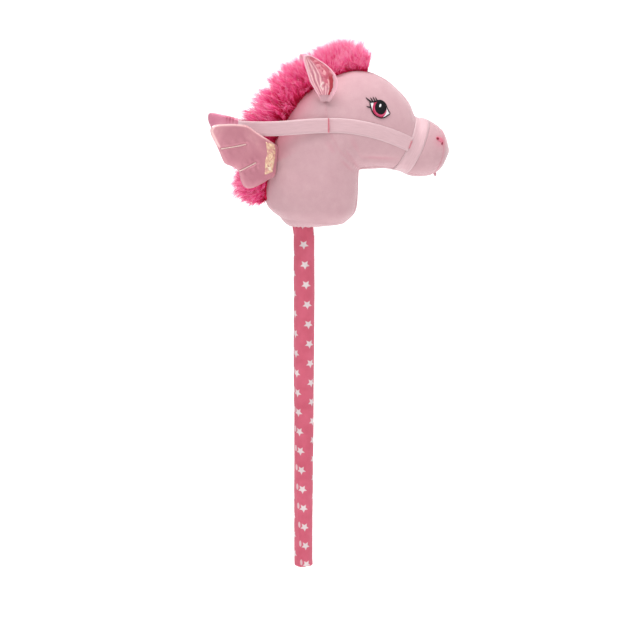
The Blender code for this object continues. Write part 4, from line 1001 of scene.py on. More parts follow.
def fur_piece(name, node, start, end, rise, lean, strands, tufts, wisps, seed):
    """A strip of fur between two places along the toy, as tapered strands drawn together into tufts."""
    chance = np.random.default_rng(seed)
    tuft_along = chance.uniform(start, end, tufts)
    tuft_side = chance.uniform(-1.0, 1.0, tufts)
    tuft_turn = chance.normal(0.0, 0.22, tufts)
    tuft_lean = table_at(lean, tuft_along) + np.clip(chance.normal(0.0, 0.19, tufts), -0.34, 0.34)
    tuft_size = chance.uniform(0.84, 1.06, tufts)
    tuft_shade = chance.uniform(0.0, 1.0, tufts)
    along = chance.uniform(start, end, strands)
    side = chance.uniform(-1.0, 1.0, strands)
    gap = (along[:, None] - tuft_along[None, :]) * 4.2
    near = np.argmin(gap**2 + (side[:, None] - tuft_side[None, :]) ** 2, axis=1)
    wispy = chance.uniform(0.0, 1.0, strands) < wisps
    pointed = chance.uniform(0.0, 1.0, strands) < 0.4
    size = np.where(pointed, chance.uniform(0.80, 1.08, strands), chance.uniform(0.50, 0.88, strands))
    fan = tuft_turn[near] + chance.normal(0.0, 0.16, strands)
    tilt = tuft_lean[near] + chance.normal(0.0, 0.14, strands)
    size = tuft_size[near] * np.where(wispy, chance.uniform(0.90, 1.14, strands), size)
    root, tip, out = fur_tips(rise, along, side, fan, tilt, size)
    tuft_tip = fur_tips(rise, tuft_along, tuft_side, tuft_turn, tuft_lean, tuft_size)[1]
    drawn = np.where(pointed, chance.uniform(0.66, 0.94, strands), chance.uniform(0.10, 0.60, strands))
    drawn = np.where(wispy, 0.15, drawn)[:, None]
    run = tip * (1 - drawn) + tuft_tip[near] * drawn - root
    bow = out * (0.16 * np.linalg.norm(run, axis=1))[:, None]
    wave = chance.normal(0.0, 2.0, (strands, 3))
    facing = unit(np.cross(run, chance.normal(0.0, 1.0, (strands, 3))))
    points = []
    shares = np.linspace(0.0, 1.0, STRAND_STEPS + 1)
    for share in shares[:-1]:
        middle = root + run * share + bow * math.sin(math.pi * share)
        middle += wave * math.sin(math.tau * share) * share
        half = facing * (STRAND_WIDTH / 2 * (1 - share) ** 0.75)
        points += [middle - half, middle + half]
    points.append(root + run)
    blades = np.stack(points, axis=1)
    held_back(blades)
    per = blades.shape[1]
    template = [(2 * k, 2 * k + 1, 2 * k + 3, 2 * k + 2) for k in range(STRAND_STEPS - 1)]
    template.append((2 * STRAND_STEPS - 2, 2 * STRAND_STEPS - 1, 2 * STRAND_STEPS))
    firsts = range(0, strands * per, per)
    faces = [tuple(first + corner for corner in face) for first in firsts for face in template]
    lengths = np.append(np.repeat(shares[:-1], 2), 1.0)

    # Random tone with painted light and shade: paler along the crest and toward the ears, as if lit through,
    # painted darker over the middle of the neck, and deeper low on the neck, where it lies in shade
    shade = tuft_shade[near] * 0.40 + chance.uniform(0.0, 0.30, strands)
    shade += np.interp(along, (4.8, 6.2), (0.22, 0.60)) * np.clip(1 - 2.2 * np.abs(side), 0.0, 1.0)
    shade = np.clip(shade, 0.0, 0.85) * (1 - 0.45 * bell(along - 3.2, 1.0))
    shade = np.where(wispy, 1.0, shade * np.clip((along - 1.1) / 1.8, 0.1, 1.0))

    # The dense lower pile that the tufts stand out of
    rows = max(int((end - start) * 14), 10)
    columns = 25
    row_along = np.linspace(start + 0.02, end - 0.02, rows)
    low_out = pile_axes(row_along)[0]
    ends = np.clip(np.minimum(row_along - start, end - row_along) / 0.3, 0.1, 1.0)
    full = 0.42 * ends * table_at(rise, row_along) * MANE_PILE
    low = []
    for across in np.linspace(-1.0, 1.0, columns):
        turn = across * (top_turn(row_along) + 0.05)
        line = plush_points(row_along, turn)
        if abs(across) < 1:
            line += low_out * (full * math.cos(across * math.pi / 2) ** 0.7)[:, None]
            line[:, 1] += 5.0 * across * (1 - across**4)
        else:
            line -= 0.9 * plush_normals(row_along, turn)
        low.append(line)
    low = np.stack(low, axis=1)
    low += low_out[:, None, :] * (2.4 * cloud(low, 7.0, seed))[..., None]
    # The low pile takes the darker root end of the colours, as painted shade under the tufts
    low_shade = 0.35 + 0.35 * cloud(low, 9.0, seed + 4)
    low_length = 0.28 + 0.16 * cloud(low, 5.0, seed + 2)
    points = np.concatenate([blades.reshape(-1, 3), low.reshape(-1, 3)]) / 1000
    faces += grid_faces(rows, columns, strands * per)
    piece = add_piece(name, points, faces, fur, turned_out=False)
    shades = np.append(np.repeat(shade, per), low_shade)
    add_uv(piece, "strand", shades, np.append(np.tile(lengths, strands), low_length))
    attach(piece, "head_and_stick")
    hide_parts(node)


fur_piece(
    "mane_pile", "mane", MANE_START, 6.2, MANE_RISE, MANE_LEAN, strands=26000, tufts=640, wisps=0.09, seed=7,
)
fur_piece(
    "forelock_pile", "forelock", 6.0, 7.3, FORELOCK_RISE, FORELOCK_LEAN, strands=13000, tufts=230, wisps=0.2,
    seed=8,
)


# Ears
#
# Two plush leaves, cupped toward the front and folded in along their front edge, so a
# roll of plush covers that side of a lining of crinkled pink foil cloth.

# Rows of an ear, from foot to tip: share of its length, sideways shift of its middle as a share of its
# length, share of its half width
EAR_ROWS = (
    (0.0, 0.0, 0.34), (0.12, 0.01, 0.54), (0.27, 0.0, 0.82), (0.43, -0.04, 1.0), (0.60, -0.10, 0.99),
    (0.78, -0.215, 0.80), (0.91, -0.325, 0.52), (1.0, -0.41, 0.20),
)
EAR_LENGTH = 62.5
EAR_HALF_WIDTH = 18.7
EAR_CUP = 6.5
EAR_LEAN_OUT = 0.12
EAR_THICKNESS = 2.0
EAR_FOOT = (28.5, 39.2, 672.0)
EAR_RIM = 2.0
EAR_COLUMNS = 33
LINING_COLUMNS = 28
# The crease of the rolled front edge: share of the length, share of the half width
EAR_FOLD_LEVELS = (
    (0.0, 0.15), (0.12, 0.46), (0.30, 0.64), (0.50, 0.74), (0.68, 0.86), (0.80, 1.2), (1.0, 1.3),
)


def smooth_line(points, steps, closed=False):
    """A smooth curve through points, with steps between each two."""
    points = np.asarray(points, float)
    line = []
    for k in range(len(points) if closed else len(points) - 1):
        four = points.take(range(k - 1, k + 3), axis=0, mode="wrap" if closed else "clip")
        line += [curve_at(*four, step / steps) for step in range(steps)]
    if not closed:
        line.append(points[-1])
    return np.array(line)


ear_levels = smooth_line(EAR_ROWS, 6)
ear_along = ear_levels[:, 0:1]
ear_shift = ear_levels[:, 1:2]
ear_width = ear_levels[:, 2:3]


def ear_face(side, across, lift):
    """A face of an ear as rows from foot to tip, in millimetres. across holds shares of the half width."""
    height = EAR_LENGTH * ear_along
    x = EAR_FOOT[0] + EAR_LENGTH * ear_shift + EAR_HALF_WIDTH * np.maximum(ear_width, 0.02) * across
    y = EAR_FOOT[1] + EAR_LEAN_OUT * height + EAR_CUP * ear_width * across**2 + lift
    return np.stack(np.broadcast_arrays(x, side * y, EAR_FOOT[2] + height), axis=-1)


# Crinkled foil cloth: facets as a tint and creases as a height
crinkle_in, crinkle_out, crinkle = new_group(
    "crinkled_foil", {"Facets per metre": 300.0}, {"Tint": "Float", "Height": "Float"},
)
crinkle_warp = add_node(crinkle, "TexNoise", {"Vector": crinkle_in["Place"], "Scale": 90.0, "Detail": 3.0})
crinkle_moved = add_node(
    crinkle, "VectorMath",
    {0: crinkle_warp.outputs["Color"], 1: (0.012, 0.012, 0.012), 2: crinkle_in["Place"]},
    operation="MULTIPLY_ADD",
)
crinkle_cells = {"Vector": crinkle_moved.outputs[0], "Scale": crinkle_in["Facets per metre"]}
crinkle_facets = add_node(crinkle, "TexVoronoi", crinkle_cells)
crinkle_lines = add_node(crinkle, "TexVoronoi", crinkle_cells, feature="DISTANCE_TO_EDGE")
crinkle_tint, crinkle_slope, _ = parts_of(crinkle_facets.outputs["Color"])
crinkle_ridge = eased(crinkle_lines.outputs["Distance"], 0.0, 0.22, 1.0, 0.0)
feed(crinkle_out["Tint"], crinkle_tint)
feed(crinkle_out["Height"], plus(crinkle_ridge, times(crinkle_slope, 0.5)))

ear_foil, ear_foil_shader = new_material(
    "ear_foil", Metallic=0.45, Roughness=0.3, Coat_Weight=0.5, Coat_Roughness=0.12, Specular_IOR_Level=0.7,
)
ear_foil_crinkle = use_group(crinkle, own_place(ear_foil_shader), Facets_per_metre=200.0)
ear_foil_uv = uv_of(ear_foil_shader, "lining")
ear_foil_share, ear_foil_height, _ = parts_of(ear_foil_uv)
# Painted light and shade on the foil: stripes of painted reflection, light and dark along its folds, with
# painted glints at their light end; a deeper pink painted shade in the cup's hollow; a dark red painted shade
# in the slit under the rolled edge; and a painted glint on a crinkled ring
ear_foil_wander = speckle(stretched(ear_foil_uv, 3.0, 2.2, 1.0), 1.0, 3.0)
ear_foil_phase = plus(times(ear_foil_share, 40.0), times(ear_foil_wander, 9.0))
ear_foil_stripes = ramp(
    maths("MULTIPLY_ADD", maths("SINE", ear_foil_phase), 0.5, 0.5), (0.0, (198, 122, 138)),
    (0.35, (212, 140, 154)), (0.7, (226, 156, 170)), (0.92, (236, 178, 184)), (1.0, (246, 206, 202)),
)
ear_foil_pocket = ramp(
    ear_foil_crinkle["Tint"], (0.0, (192, 76, 100)), (0.5, (212, 106, 128)), (0.85, (228, 140, 154)),
    (1.0, (242, 176, 180)),
)
ear_foil_inside = times(eased(ear_foil_share, 0.36, 0.60), eased(ear_foil_height, 0.26, 0.42))
ear_foil_base = blended(ear_foil_inside, ear_foil_stripes, ear_foil_pocket)
ear_foil_shade = times(eased(ear_foil_share, 0.70, 0.80), eased(ear_foil_height, 0.50, 0.66, 1.0, 0.2))
ear_foil_red = blended(ear_foil_shade, ear_foil_base, (170, 12, 42))
ear_foil_glint = parts_of(uv_of(ear_foil_shader, "glint"))["X"]
paint(ear_foil_shader, blended(ear_foil_glint, ear_foil_red, (255, 232, 226)))
bump(ear_foil_shader, ear_foil_crinkle["Height"], 0.0006, 0.5)

# The leaf: a thick rim, and the front edge rolled in
width_mm = EAR_HALF_WIDTH * np.maximum(ear_width, 0.02)
across = np.tile(np.sin(np.linspace(-1.0, 1.0, EAR_COLUMNS) * math.pi / 2), (len(ear_levels), 1))
fold = table_at(EAR_FOLD_LEVELS, ear_along)
from_rim = np.minimum((1 - np.abs(across)) * width_mm, (1 - ear_along) * EAR_LENGTH)
past_fold = np.clip((across - fold) / np.maximum(1 - fold, 0.15), 0.0, 1.0) * (fold < 1.0)
roll = 3.4 * np.sin(past_fold * math.pi) ** 0.5 * np.clip(1.15 - ear_along, 0.0, 1.0)
front_lift = EAR_THICKNESS + 1.5 * bell(from_rim - 1.3, 1.3) - 0.9 * bell(from_rim, 0.5) + roll
front_lift += 0.8 * bell(ear_along, 0.10) * np.cos(across * 2.2)
back_lift = 0.54 * bell(from_rim, 1.0) - 0.2
# Painted light: the leaf is painted lighter, most at its rim and on its rolled edge, fading out at its foot
lit = 0.35 + 0.65 * bell(from_rim, 2.2) + 0.3 * (past_fold > 0)
lit = np.clip(lit * between(ear_along, 0.0, 0.2), 0.0, 1.0)

# The lining lies in the cup, from the rear rim to under the roll
low = EAR_RIM / width_mm - 1.0
high = np.minimum(fold + 0.12, 1.0 - EAR_RIM / width_mm)
keep = ((high - low > 0.12) & (ear_along > 0.14) & (ear_along < 0.965))[:, 0]
share = np.linspace(0.0, 1.0, LINING_COLUMNS)[None, :]
lining_across = low + (high - low) * share
belly = 0.35 + 0.25 * np.sin(share * math.pi)
for side_name, side in (("left", 1), ("right", -1)):
    ear = f"ear_{side_name}"
    front = ear_face(side, across, front_lift)
    front[..., 1] += side * 0.35 * cloud(front, 9.0, 3.0)
    points, faces = closed_panel(front / 1000, ear_face(side, across, back_lift) / 1000)
    leaf = add_piece(f"ear_leaf_{side_name}", points, faces, plush)
    add_uv(leaf, "drawn_in", 0.0, lit)
    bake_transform(leaf)
    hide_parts(f"{ear}_back")

    full = ear_face(side, lining_across, EAR_THICKNESS + belly)[keep]
    long_folds = 0.55 * np.sin(share * 24.0 + 2.2 * cloud(full, 16.0, 2.0)) * (share < 0.6)
    wrinkle = 0.6 + long_folds + 0.8 * np.abs(cloud(full, 7.0, 21.0)) + 0.35 * cloud(full, 3.2, 4.0)
    wrinkle -= between(share, 0.72, 0.87) * (ear_along[keep] < 0.56)
    # A crinkled ring stands out of the foil, with a painted glint along its left side
    ring = np.abs(full[..., 0] - 25.0) / 3.6 + np.abs(full[..., 2] - 693.0) / 5.0
    glint = bell(ring - 1.0, 0.28) * (full[..., 0] < 26.5)
    full[..., 1] += side * (wrinkle * np.sin(share * math.pi) ** 0.5 + 1.3 * bell(ring - 1.0, 0.35))
    points, faces = closed_panel(full / 1000, (full - (0.0, side * 0.5, 0.0)) / 1000)
    lining = add_piece(f"ear_lining_{side_name}", points, faces, ear_foil)
    add_uv(lining, "lining", share, np.repeat(ear_along[keep], LINING_COLUMNS))
    add_uv(lining, "glint", glint, 0.0)
    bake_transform(lining)
    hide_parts(f"{ear}_lining")


# Bridle
#
# Pale pink ribbon, 20 mm wide. A band goes round the muzzle, a strap runs along each cheek
# into the seam below the ear, and a loop behind the neck is sewn into the same seam as rein.

RIBBON_THICKNESS = 0.6
RIBBON_COLUMNS = 7
RIBBON_LIFT = 0.15
RIB_PITCH = 0.0011
STRAP_ROWS = 56
NOSEBAND_ROWS = 121
REIN_PIVOT = (32.5, 640.0)
# How far outside the toy the rays start that find the plush
RAY_START = 200.0
RING_RAY_START = 150.0

skin_points = []
skin_polygons = []
for part_points, part_faces in plush_skins:
    first = len(skin_points)
    skin_points += [tuple(point) for point in part_points]
    skin_polygons += [tuple(corner + first for corner in face) for face in part_faces]
SKIN = BVHTree.FromPolygons(skin_points, skin_polygons)


def on_skin(origin, direction):
    """Where a ray in millimetres first meets the plush, and how far it ran."""
    place, _, _, distance = SKIN.ray_cast(Vector(origin) / 1000, Vector(direction).normalized())
    if place is None:
        return None, None
    return np.array(place) * 1000, distance * 1000


def evened(values, passes):
    """Values smoothed along their first axis, with the ends kept."""
    values = np.asarray(values, float)
    for _ in range(passes):
        padded = np.concatenate([values[:1], values, values[-1:]])
        values = (padded[:-2] + 2 * padded[1:-1] + padded[2:]) / 4
    return values


ribbon, ribbon_shader = new_material(
    "pale_ribbon", Roughness=0.5, Sheen_Weight=0.3, Sheen_Roughness=0.4, Specular_IOR_Level=0.35,
)
ribbon_place = uv_of(ribbon_shader, "cloth")
ribbon_run, ribbon_aside, _ = parts_of(ribbon_place)
ribbon_rib = maths("SINE", times(ribbon_run, math.tau / RIB_PITCH))
ribbon_selvedge = eased(maths("ABSOLUTE", ribbon_aside), 0.0088, 0.0096)
ribbon_streak = speckle(stretched(ribbon_place, 60.0, 900.0, 1.0), 1.0, 4.0)
ribbon_pink = ramp(ribbon_streak, (0.3, (203, 166, 172)), (0.7, (214, 178, 184)))
paint(ribbon_shader, blended(ribbon_selvedge, ribbon_pink, (218, 190, 194)))
bump(ribbon_shader, plus(times(ribbon_rib, 0.5), ribbon_selvedge), 0.00012, 0.5)


def ribbon_piece(name, node, outer, outward, hoop=False):
    """A ribbon from rows of points on its outer face and their outward directions."""
    points, faces = closed_panel(outer, outer - outward * RIBBON_THICKNESS, hoop)
    piece = add_piece(name, points / 1000, faces, ribbon)
    steps = np.linalg.norm(np.diff(outer[:, RIBBON_COLUMNS // 2], axis=0), axis=1)
    run = np.repeat(np.append(0.0, np.cumsum(steps)), RIBBON_COLUMNS)[: len(points) // 2]
    add_uv(piece, "cloth", run / 1000, across / 1000)
    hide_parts(node)
    return piece


def laid_on_skin(origins, directions, stiffness=10, width_stiffness=3):
    """Rows of points of a ribbon's outer face, drawn tight over the plush along rays."""
    depth = np.zeros(origins.shape[:2])
    for i in range(origins.shape[0]):
        for k in range(origins.shape[1]):
            _, distance = on_skin(origins[i, k], directions[i, k])
            depth[i, k] = depth[i, k - 1] if distance is None else distance
    smooth = evened(evened(depth, stiffness).T, width_stiffness).T
    sunk = np.maximum(smooth - depth, 0.0)
    sunk = evened(np.maximum.reduce([np.roll(sunk, j, axis=0) for j in (-1, 0, 1)]), 2)
    depth = smooth - sunk - RIBBON_LIFT - RIBBON_THICKNESS
    return origins + directions * depth[..., None]


across = np.linspace(-0.5, 0.5, RIBBON_COLUMNS) * RIBBON_WIDTH
for side_name, side in (("left", 1), ("right", -1)):
    x = np.linspace(STRAP_POINTS[0][0], STRAP_POINTS[2][0], STRAP_ROWS)
    line = np.stack([x, strap_height(x)], axis=-1)
    ahead = unit(np.gradient(line, axis=0))
    upright = np.stack([-ahead[:, 1], ahead[:, 0]], axis=-1)
    square_start = np.exp(-np.arange(len(line)) / 4.0)[:, None]
    upright = upright * (1 - square_start) + np.array([0.0, 1.0]) * square_start
    flat = line[:, None, :] + upright[:, None, :] * across[None, :, None]
    origins = np.stack([flat[..., 0], np.full(flat.shape[:2], side * RAY_START), flat[..., 1]], axis=-1)
    inward = np.broadcast_to(np.array([0.0, -side, 0.0]), origins.shape)
    outer = laid_on_skin(origins, inward)
    strap = ribbon_piece(f"ribbon_cheek_{side_name}", f"cheek_strap_{side_name}", outer, -inward)
    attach(strap, "head_and_stick")

# Noseband: rays toward the muzzle from a ring that bows forward at the sides
angles = np.linspace(0.0, math.tau, NOSEBAND_ROWS)
away = ring_up * np.cos(angles)[:, None] + np.array([0.0, 1.0, 0.0]) * np.sin(angles)[:, None]
shift = across[None, :] + NOSEBAND_BOW * np.sin(angles)[:, None] ** 2
origins = ring_middle + away[:, None, :] * RING_RAY_START + ring_ahead * shift[..., None]
inward = np.broadcast_to(-away[:, None, :], origins.shape)
outer = laid_on_skin(origins, inward, stiffness=3, width_stiffness=1)
outer[-1] = outer[0]
noseband = ribbon_piece("ribbon_noseband", "noseband", outer, -inward, hoop=True)
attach(noseband, "head_and_stick")

# Rein: flat along the neck, then a loop that narrows round the back of the mane
REIN_DIP = 5.0
rein_line = [(x, REIN_HALF_WIDTH) for x in (REIN_PIVOT[0], 28.0, 22.0, 15.0, 8.0)]
rein_line += [
    ((REIN_REAR - 0.5) * math.sin(a), REIN_HALF_WIDTH * (1 - math.sin(a) ** 2) ** REIN_TAPER)
    for a in np.linspace(0.03, math.pi / 2, 34)
]
rein_half = smooth_line(rein_line, 2)
rein_plan = np.concatenate([rein_half, (rein_half * (1, -1))[-2::-1]])
steps = unit(np.gradient(rein_plan, axis=0))
rein_out = np.stack([steps[:, 1], -steps[:, 0], np.zeros(len(steps))], axis=-1)
run = np.linspace(0.0, 1.0, len(rein_plan))
sway = 0.3 * np.sin(run * math.pi) * np.sin(run * 17.0)
dip = between(rein_plan[:, 0], 25.0, -60.0)
dip = REIN_DIP * dip**2 * (3 - 2 * dip)
rein_middle = np.column_stack([rein_plan, REIN_PIVOT[1] - dip + sway])
outer = rein_middle[:, None, :] + across[None, :, None] * np.array((0.0, 0.0, 1.0))
tilt = 0.5 * np.sin(run * 23.0) * np.sin(run * math.pi)
outer += rein_out[:, None, :] * (tilt[:, None] * (across / 10.0)[None, :])[..., None]
rein = ribbon_piece("ribbon_rein", "rein", outer, np.broadcast_to(rein_out[:, None, :], outer.shape))
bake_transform(rein)

# Stitches of thread: short rods lying on the cloth
pink_thread, pink_thread_shader = new_material("pink_thread", Roughness=0.55, Sheen_Weight=0.3)
pink_twist = add_node(
    pink_thread.node_tree, "TexWave",
    {"Vector": own_place(pink_thread_shader), "Scale": 900.0, "Distortion": 2.0},
    bands_direction="DIAGONAL",
)
pink_colour = ramp(pink_twist.outputs["Fac"], (0.2, (216, 84, 108)), (0.8, (240, 132, 150)))
paint(pink_thread_shader, pink_colour)

# A rod's rings: share of its length, share of its radius
ROD_RINGS = ((0.0, 0.35), (0.15, 0.85), (0.5, 1.0), (0.85, 0.85), (1.0, 0.35))
ROD_SIDES = 6


def rod_faces(rings, sides, start):
    """Faces of a closed rod whose points lie in rings."""
    last = start + (rings - 1) * sides
    caps = [tuple(range(start, start + sides))[::-1], tuple(range(last, last + sides))]
    return ring_faces(rings, sides, start) + caps


def thread_rods(ends, radius):
    """Points and faces of round stitches between pairs of places, with pinched ends."""
    points = []
    faces = []
    turns = [math.tau * k / ROD_SIDES for k in range(ROD_SIDES)]
    for start, end in ends:
        run = np.subtract(end, start)
        aside = unit(np.cross(run, (0.3, 0.9, 0.31)))
        other = np.cross(unit(run), aside)
        faces += rod_faces(len(ROD_RINGS), ROD_SIDES, len(points))
        for share, size in ROD_RINGS:
            for turn in turns:
                out = aside * math.cos(turn) + other * math.sin(turn)
                points.append(start + run * share + out * radius * size)
    return np.array(points), faces


def outside_at(x, z, side, lift):
    """A place on one side of the head, lift above the plush, past any seam's gap."""
    for aside in (0.0, 0.5, -0.5, 1.0, -1.0):
        place, _ = on_skin((x + aside, side * RAY_START, z), (0.0, -side, 0.0))
        if place is not None:
            break
    return np.array([x, place[1] + side * lift, z])


# The rein's stitches cross its seam, and the tacks run down the noseband's rear edge
SEAM_STITCH_X = (33.4, 31.4)
SEAM_STITCH_HEIGHTS = np.arange(631.0, 649.6, 1.15)
TACK_START = (147.8, 617.5)
TACK_STEP = (0.44, 1.15)
TACK_COUNT = 9
for side_name, side in (("left", 1), ("right", -1)):
    ends = []
    for z in SEAM_STITCH_HEIGHTS:
        start = outside_at(SEAM_STITCH_X[0], z - 0.5, side, 1.9)
        end = outside_at(SEAM_STITCH_X[1], z + 0.6, side, 1.9)
        start[1] = end[1] = side * max(abs(start[1]), abs(end[1]), REIN_HALF_WIDTH + 0.35)
        ends.append((start, end))
    points, faces = thread_rods(ends, 0.45)
    stitch = add_piece(f"seam_stitch_{side_name}", points / 1000, faces, pink_thread)
    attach(stitch, "head_and_stick")
    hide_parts(f"rein_stitch_{side_name}")
    ends = []
    for k in range(TACK_COUNT):
        x = TACK_START[0] - TACK_STEP[0] * k
        z = TACK_START[1] - TACK_STEP[1] * k
        ends.append((outside_at(x - 0.9, z + 0.3, side, 2.2), outside_at(x + 1.1, z - 0.3, side, 2.2)))
    points, faces = thread_rods(ends, 0.32)
    tack = add_piece(f"band_stitch_{side_name}", points / 1000, faces, pink_thread)
    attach(tack, "head_and_stick")
    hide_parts(f"noseband_tack_{side_name}")


# Eyes
#
# Each eye is embroidered in satin stitch: white, then a crimson iris, a black pupil and a
# white glint, with a dark line round them and dark lashes drawn out from its rear corner.

EYE_PLACE = (103.5, 664.7)
EYE_OUTLINE = (
    (-14.3, 6.4), (-14.2, 3.6), (-13.4, 0.6), (-12.0, -4.5), (-9.4, -9.3), (-5.0, -12.9), (0.0, -14.7),
    (4.6, -14.5), (8.6, -12.5), (13.2, -9.0), (11.2, -5.4), (9.2, -1.0), (7.6, 2.8), (5.0, 6.0), (1.6, 8.0),
    (-2.4, 8.3), (-6.6, 7.3), (-10.8, 6.6),
)
IRIS_OUTLINE = (
    (-8.6, 6.4), (-10.2, 3.0), (-11.2, -1.0), (-11.0, -4.8), (-9.0, -9.2), (-5.0, -12.7), (0.0, -14.4),
    (3.4, -13.8), (6.0, -11.4), (8.0, -8.0), (8.8, -4.4), (8.2, -0.6), (6.6, 3.2), (3.8, 6.4), (-1.0, 7.8),
    (-5.4, 7.2),
)
IRIS_LIGHT = (
    (-8.8, 2.0), (-8.9, -3.2), (-7.4, -7.4), (-4.4, -10.6), (0.0, -12.2), (4.2, -11.6), (7.2, -8.6),
    (8.2, -4.6), (7.4, -4.6), (4.8, -9.2), (1.0, -10.9), (-3.4, -9.4), (-6.4, -6.2), (-7.8, -2.0),
)
# Ovals: middle, half width, half height and tilt
PUPIL = ((0.4, -0.9), 7.9, 9.1)
GLINT = ((-0.2, 1.7), 1.5, 2.5, -0.4)
OVAL_SIDES = 28
# How far each layer of stitches stands above the one under it
LAYER = 0.28
THREAD_PITCH = 0.00055

# Satin stitch: fine parallel threads as a height, and as a colour with painted shade between the threads and
# painted light on their crowns
satin_in, satin_out, satin_stitch = new_group(
    "satin_stitch", {"Turn": 0.4, "Shade": (0.1, 0.1, 0.1, 1.0), "Light": (0.2, 0.2, 0.2, 1.0)},
    {"Color": "Color", "Height": "Float"},
)
satin_turned = add_node(
    satin_stitch, "VectorRotate",
    {"Vector": satin_in["Place"], "Axis": (0.0, 1.0, 0.0), "Angle": satin_in["Turn"]},
)
satin_across = parts_of(satin_turned.outputs[0])["X"]
satin_wobble = speckle(satin_in["Place"], 400.0)
satin_phase = plus(times(satin_across, math.tau / THREAD_PITCH), times(satin_wobble, 3.0))
satin_wave = maths("MULTIPLY_ADD", maths("SINE", satin_phase), 0.5, 0.5)
feed(satin_out["Color"], blended(satin_wave, satin_in["Shade"], satin_in["Light"]))
feed(satin_out["Height"], satin_wave)


def thread_material(name, turn, shade, light, raised=True, **values):
    """A thread in satin stitch, with the slant of its stitches and its two colours: painted shade between
    threads and painted light on their crowns.
    """
    material, shader = new_material(name, **values)
    threads = use_group(satin_stitch, own_place(shader), Turn=turn, Shade=shade, Light=light)
    paint(shader, threads["Color"])
    if raised:
        bump(shader, threads["Height"], 0.00015, 0.6)
    return material


black_thread = thread_material(
    "black_thread", 0.5, (6, 5, 9), (20, 18, 24), Roughness=0.6, Specular_IOR_Level=0.2,
)
crimson_thread = thread_material(
    "crimson_thread", 0.2, (158, 16, 62), (202, 38, 90), Roughness=0.5, Sheen_Weight=0.2,
)
rose_thread = thread_material(
    "rose_thread", 0.2, (204, 66, 112), (226, 104, 142), Roughness=0.5, Sheen_Weight=0.2,
)
white_thread = thread_material(
    "white_thread", 0.9, (222, 214, 218), (250, 246, 248), Roughness=0.5, Sheen_Weight=0.2,
)
coral_thread = thread_material(
    "coral_thread", 1.1, (204, 96, 122), (224, 128, 148), Roughness=0.55, Sheen_Weight=0.2,
)
maroon_thread = thread_material("maroon_thread", 0.8, (110, 10, 30), (150, 26, 52), Roughness=0.6)


def oval(centre, half_width, half_height, tilt=0.0):
    angles = np.linspace(0.0, math.tau, OVAL_SIDES, endpoint=False)
    x = half_width * np.cos(angles)
    z = half_height * np.sin(angles)
    turned = (x * math.cos(tilt) - z * math.sin(tilt), x * math.sin(tilt) + z * math.cos(tilt))
    return np.stack(turned, axis=-1) + centre


def from_edge(flat, line):
    """How far flat places are from a closed line."""
    run = np.roll(line, -1, axis=0) - line
    offset = flat[:, None] - line
    share = (offset * run).sum(axis=-1) / np.maximum((run**2).sum(axis=-1), 1e-9)
    return np.linalg.norm(offset - np.clip(share, 0.0, 1.0)[..., None] * run, axis=-1).min(axis=1)


def filled(line, spacing):
    """Points and faces that fill a closed flat line, with an even grid of points inside it."""
    low = line.min(axis=0)
    high = line.max(axis=0)
    grid = []
    for row, z in enumerate(np.arange(low[1] + spacing / 2, high[1], spacing * 0.87)):
        grid += [(x, z) for x in np.arange(low[0] + spacing / 2 + (row % 2) * spacing / 2, high[0], spacing)]
    grid = np.array(grid)
    x, z = grid.T[..., None]
    run_x, run_z = (np.roll(line, -1, axis=0) - line).T
    crossing = (line[:, 1] > z) != (line[:, 1] + run_z > z)
    where = line[:, 0] + (z - line[:, 1]) * run_x / np.where(run_z == 0, 1e-9, run_z)
    inside = (crossing & (x < where)).sum(axis=1) % 2 == 1
    grid = grid[inside & (from_edge(grid, line) > spacing * 0.45)]
    edges = [(k, (k + 1) % len(line)) for k in range(len(line))]
    points, _, faces, *_ = delaunay_2d_cdt([Vector(point) for point in (*line, *grid)], edges, [], 1, 1e-6)
    return np.array([tuple(point) for point in points]), [tuple(face) for face in faces]


def thread_patch(name, node, outline, side, level, material, rise=0.35, spacing=1.1, middle=EYE_PLACE):
    """A patch of satin stitch that follows the plush, raised in its middle."""
    line = smooth_line(outline, 4, closed=True)
    flat, faces = filled(line, spacing)
    full = level + rise * (1 - np.exp(-from_edge(flat, line) / 0.5))
    flat = flat + middle
    outer = [outside_at(x, z, side, lift) for (x, z), lift in zip(flat, full)]
    inner = [outside_at(x, z, side, level - 0.6) for x, z in flat]
    points = np.concatenate([outer, inner]) / 1000
    piece = add_piece(name, points, shell_faces(faces, len(flat)), material)
    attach(piece, "head_and_stick")
    if node:
        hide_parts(node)


# The section of a stitched line: share of its half width, and rise
LINE_SECTION = (
    (-1.0, -0.5), (-1.0, 0.06), (-0.55, 0.32), (0.0, 0.42), (0.55, 0.32), (1.0, 0.06), (1.0, -0.5),
)


def thread_line(name, node, lines, side, level, material):
    """Lines of satin stitch, each a run of places with a half width, lying on the plush as one piece."""
    points = []
    faces = []
    for line in lines:
        line = smooth_line(line, 6)
        ahead = unit(np.gradient(line[:, :2], axis=0))
        faces += rod_faces(len(line), len(LINE_SECTION), len(points))
        for (x, z, half), (ahead_x, ahead_z) in zip(line, ahead):
            for share, rise in LINE_SECTION:
                aside = half * share
                place_x = EYE_PLACE[0] + x - ahead_z * aside
                place_z = EYE_PLACE[1] + z + ahead_x * aside
                points.append(outside_at(place_x, place_z, side, level + rise))
    piece = add_piece(name, np.array(points) / 1000, faces, material)
    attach(piece, "head_and_stick")
    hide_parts(node)


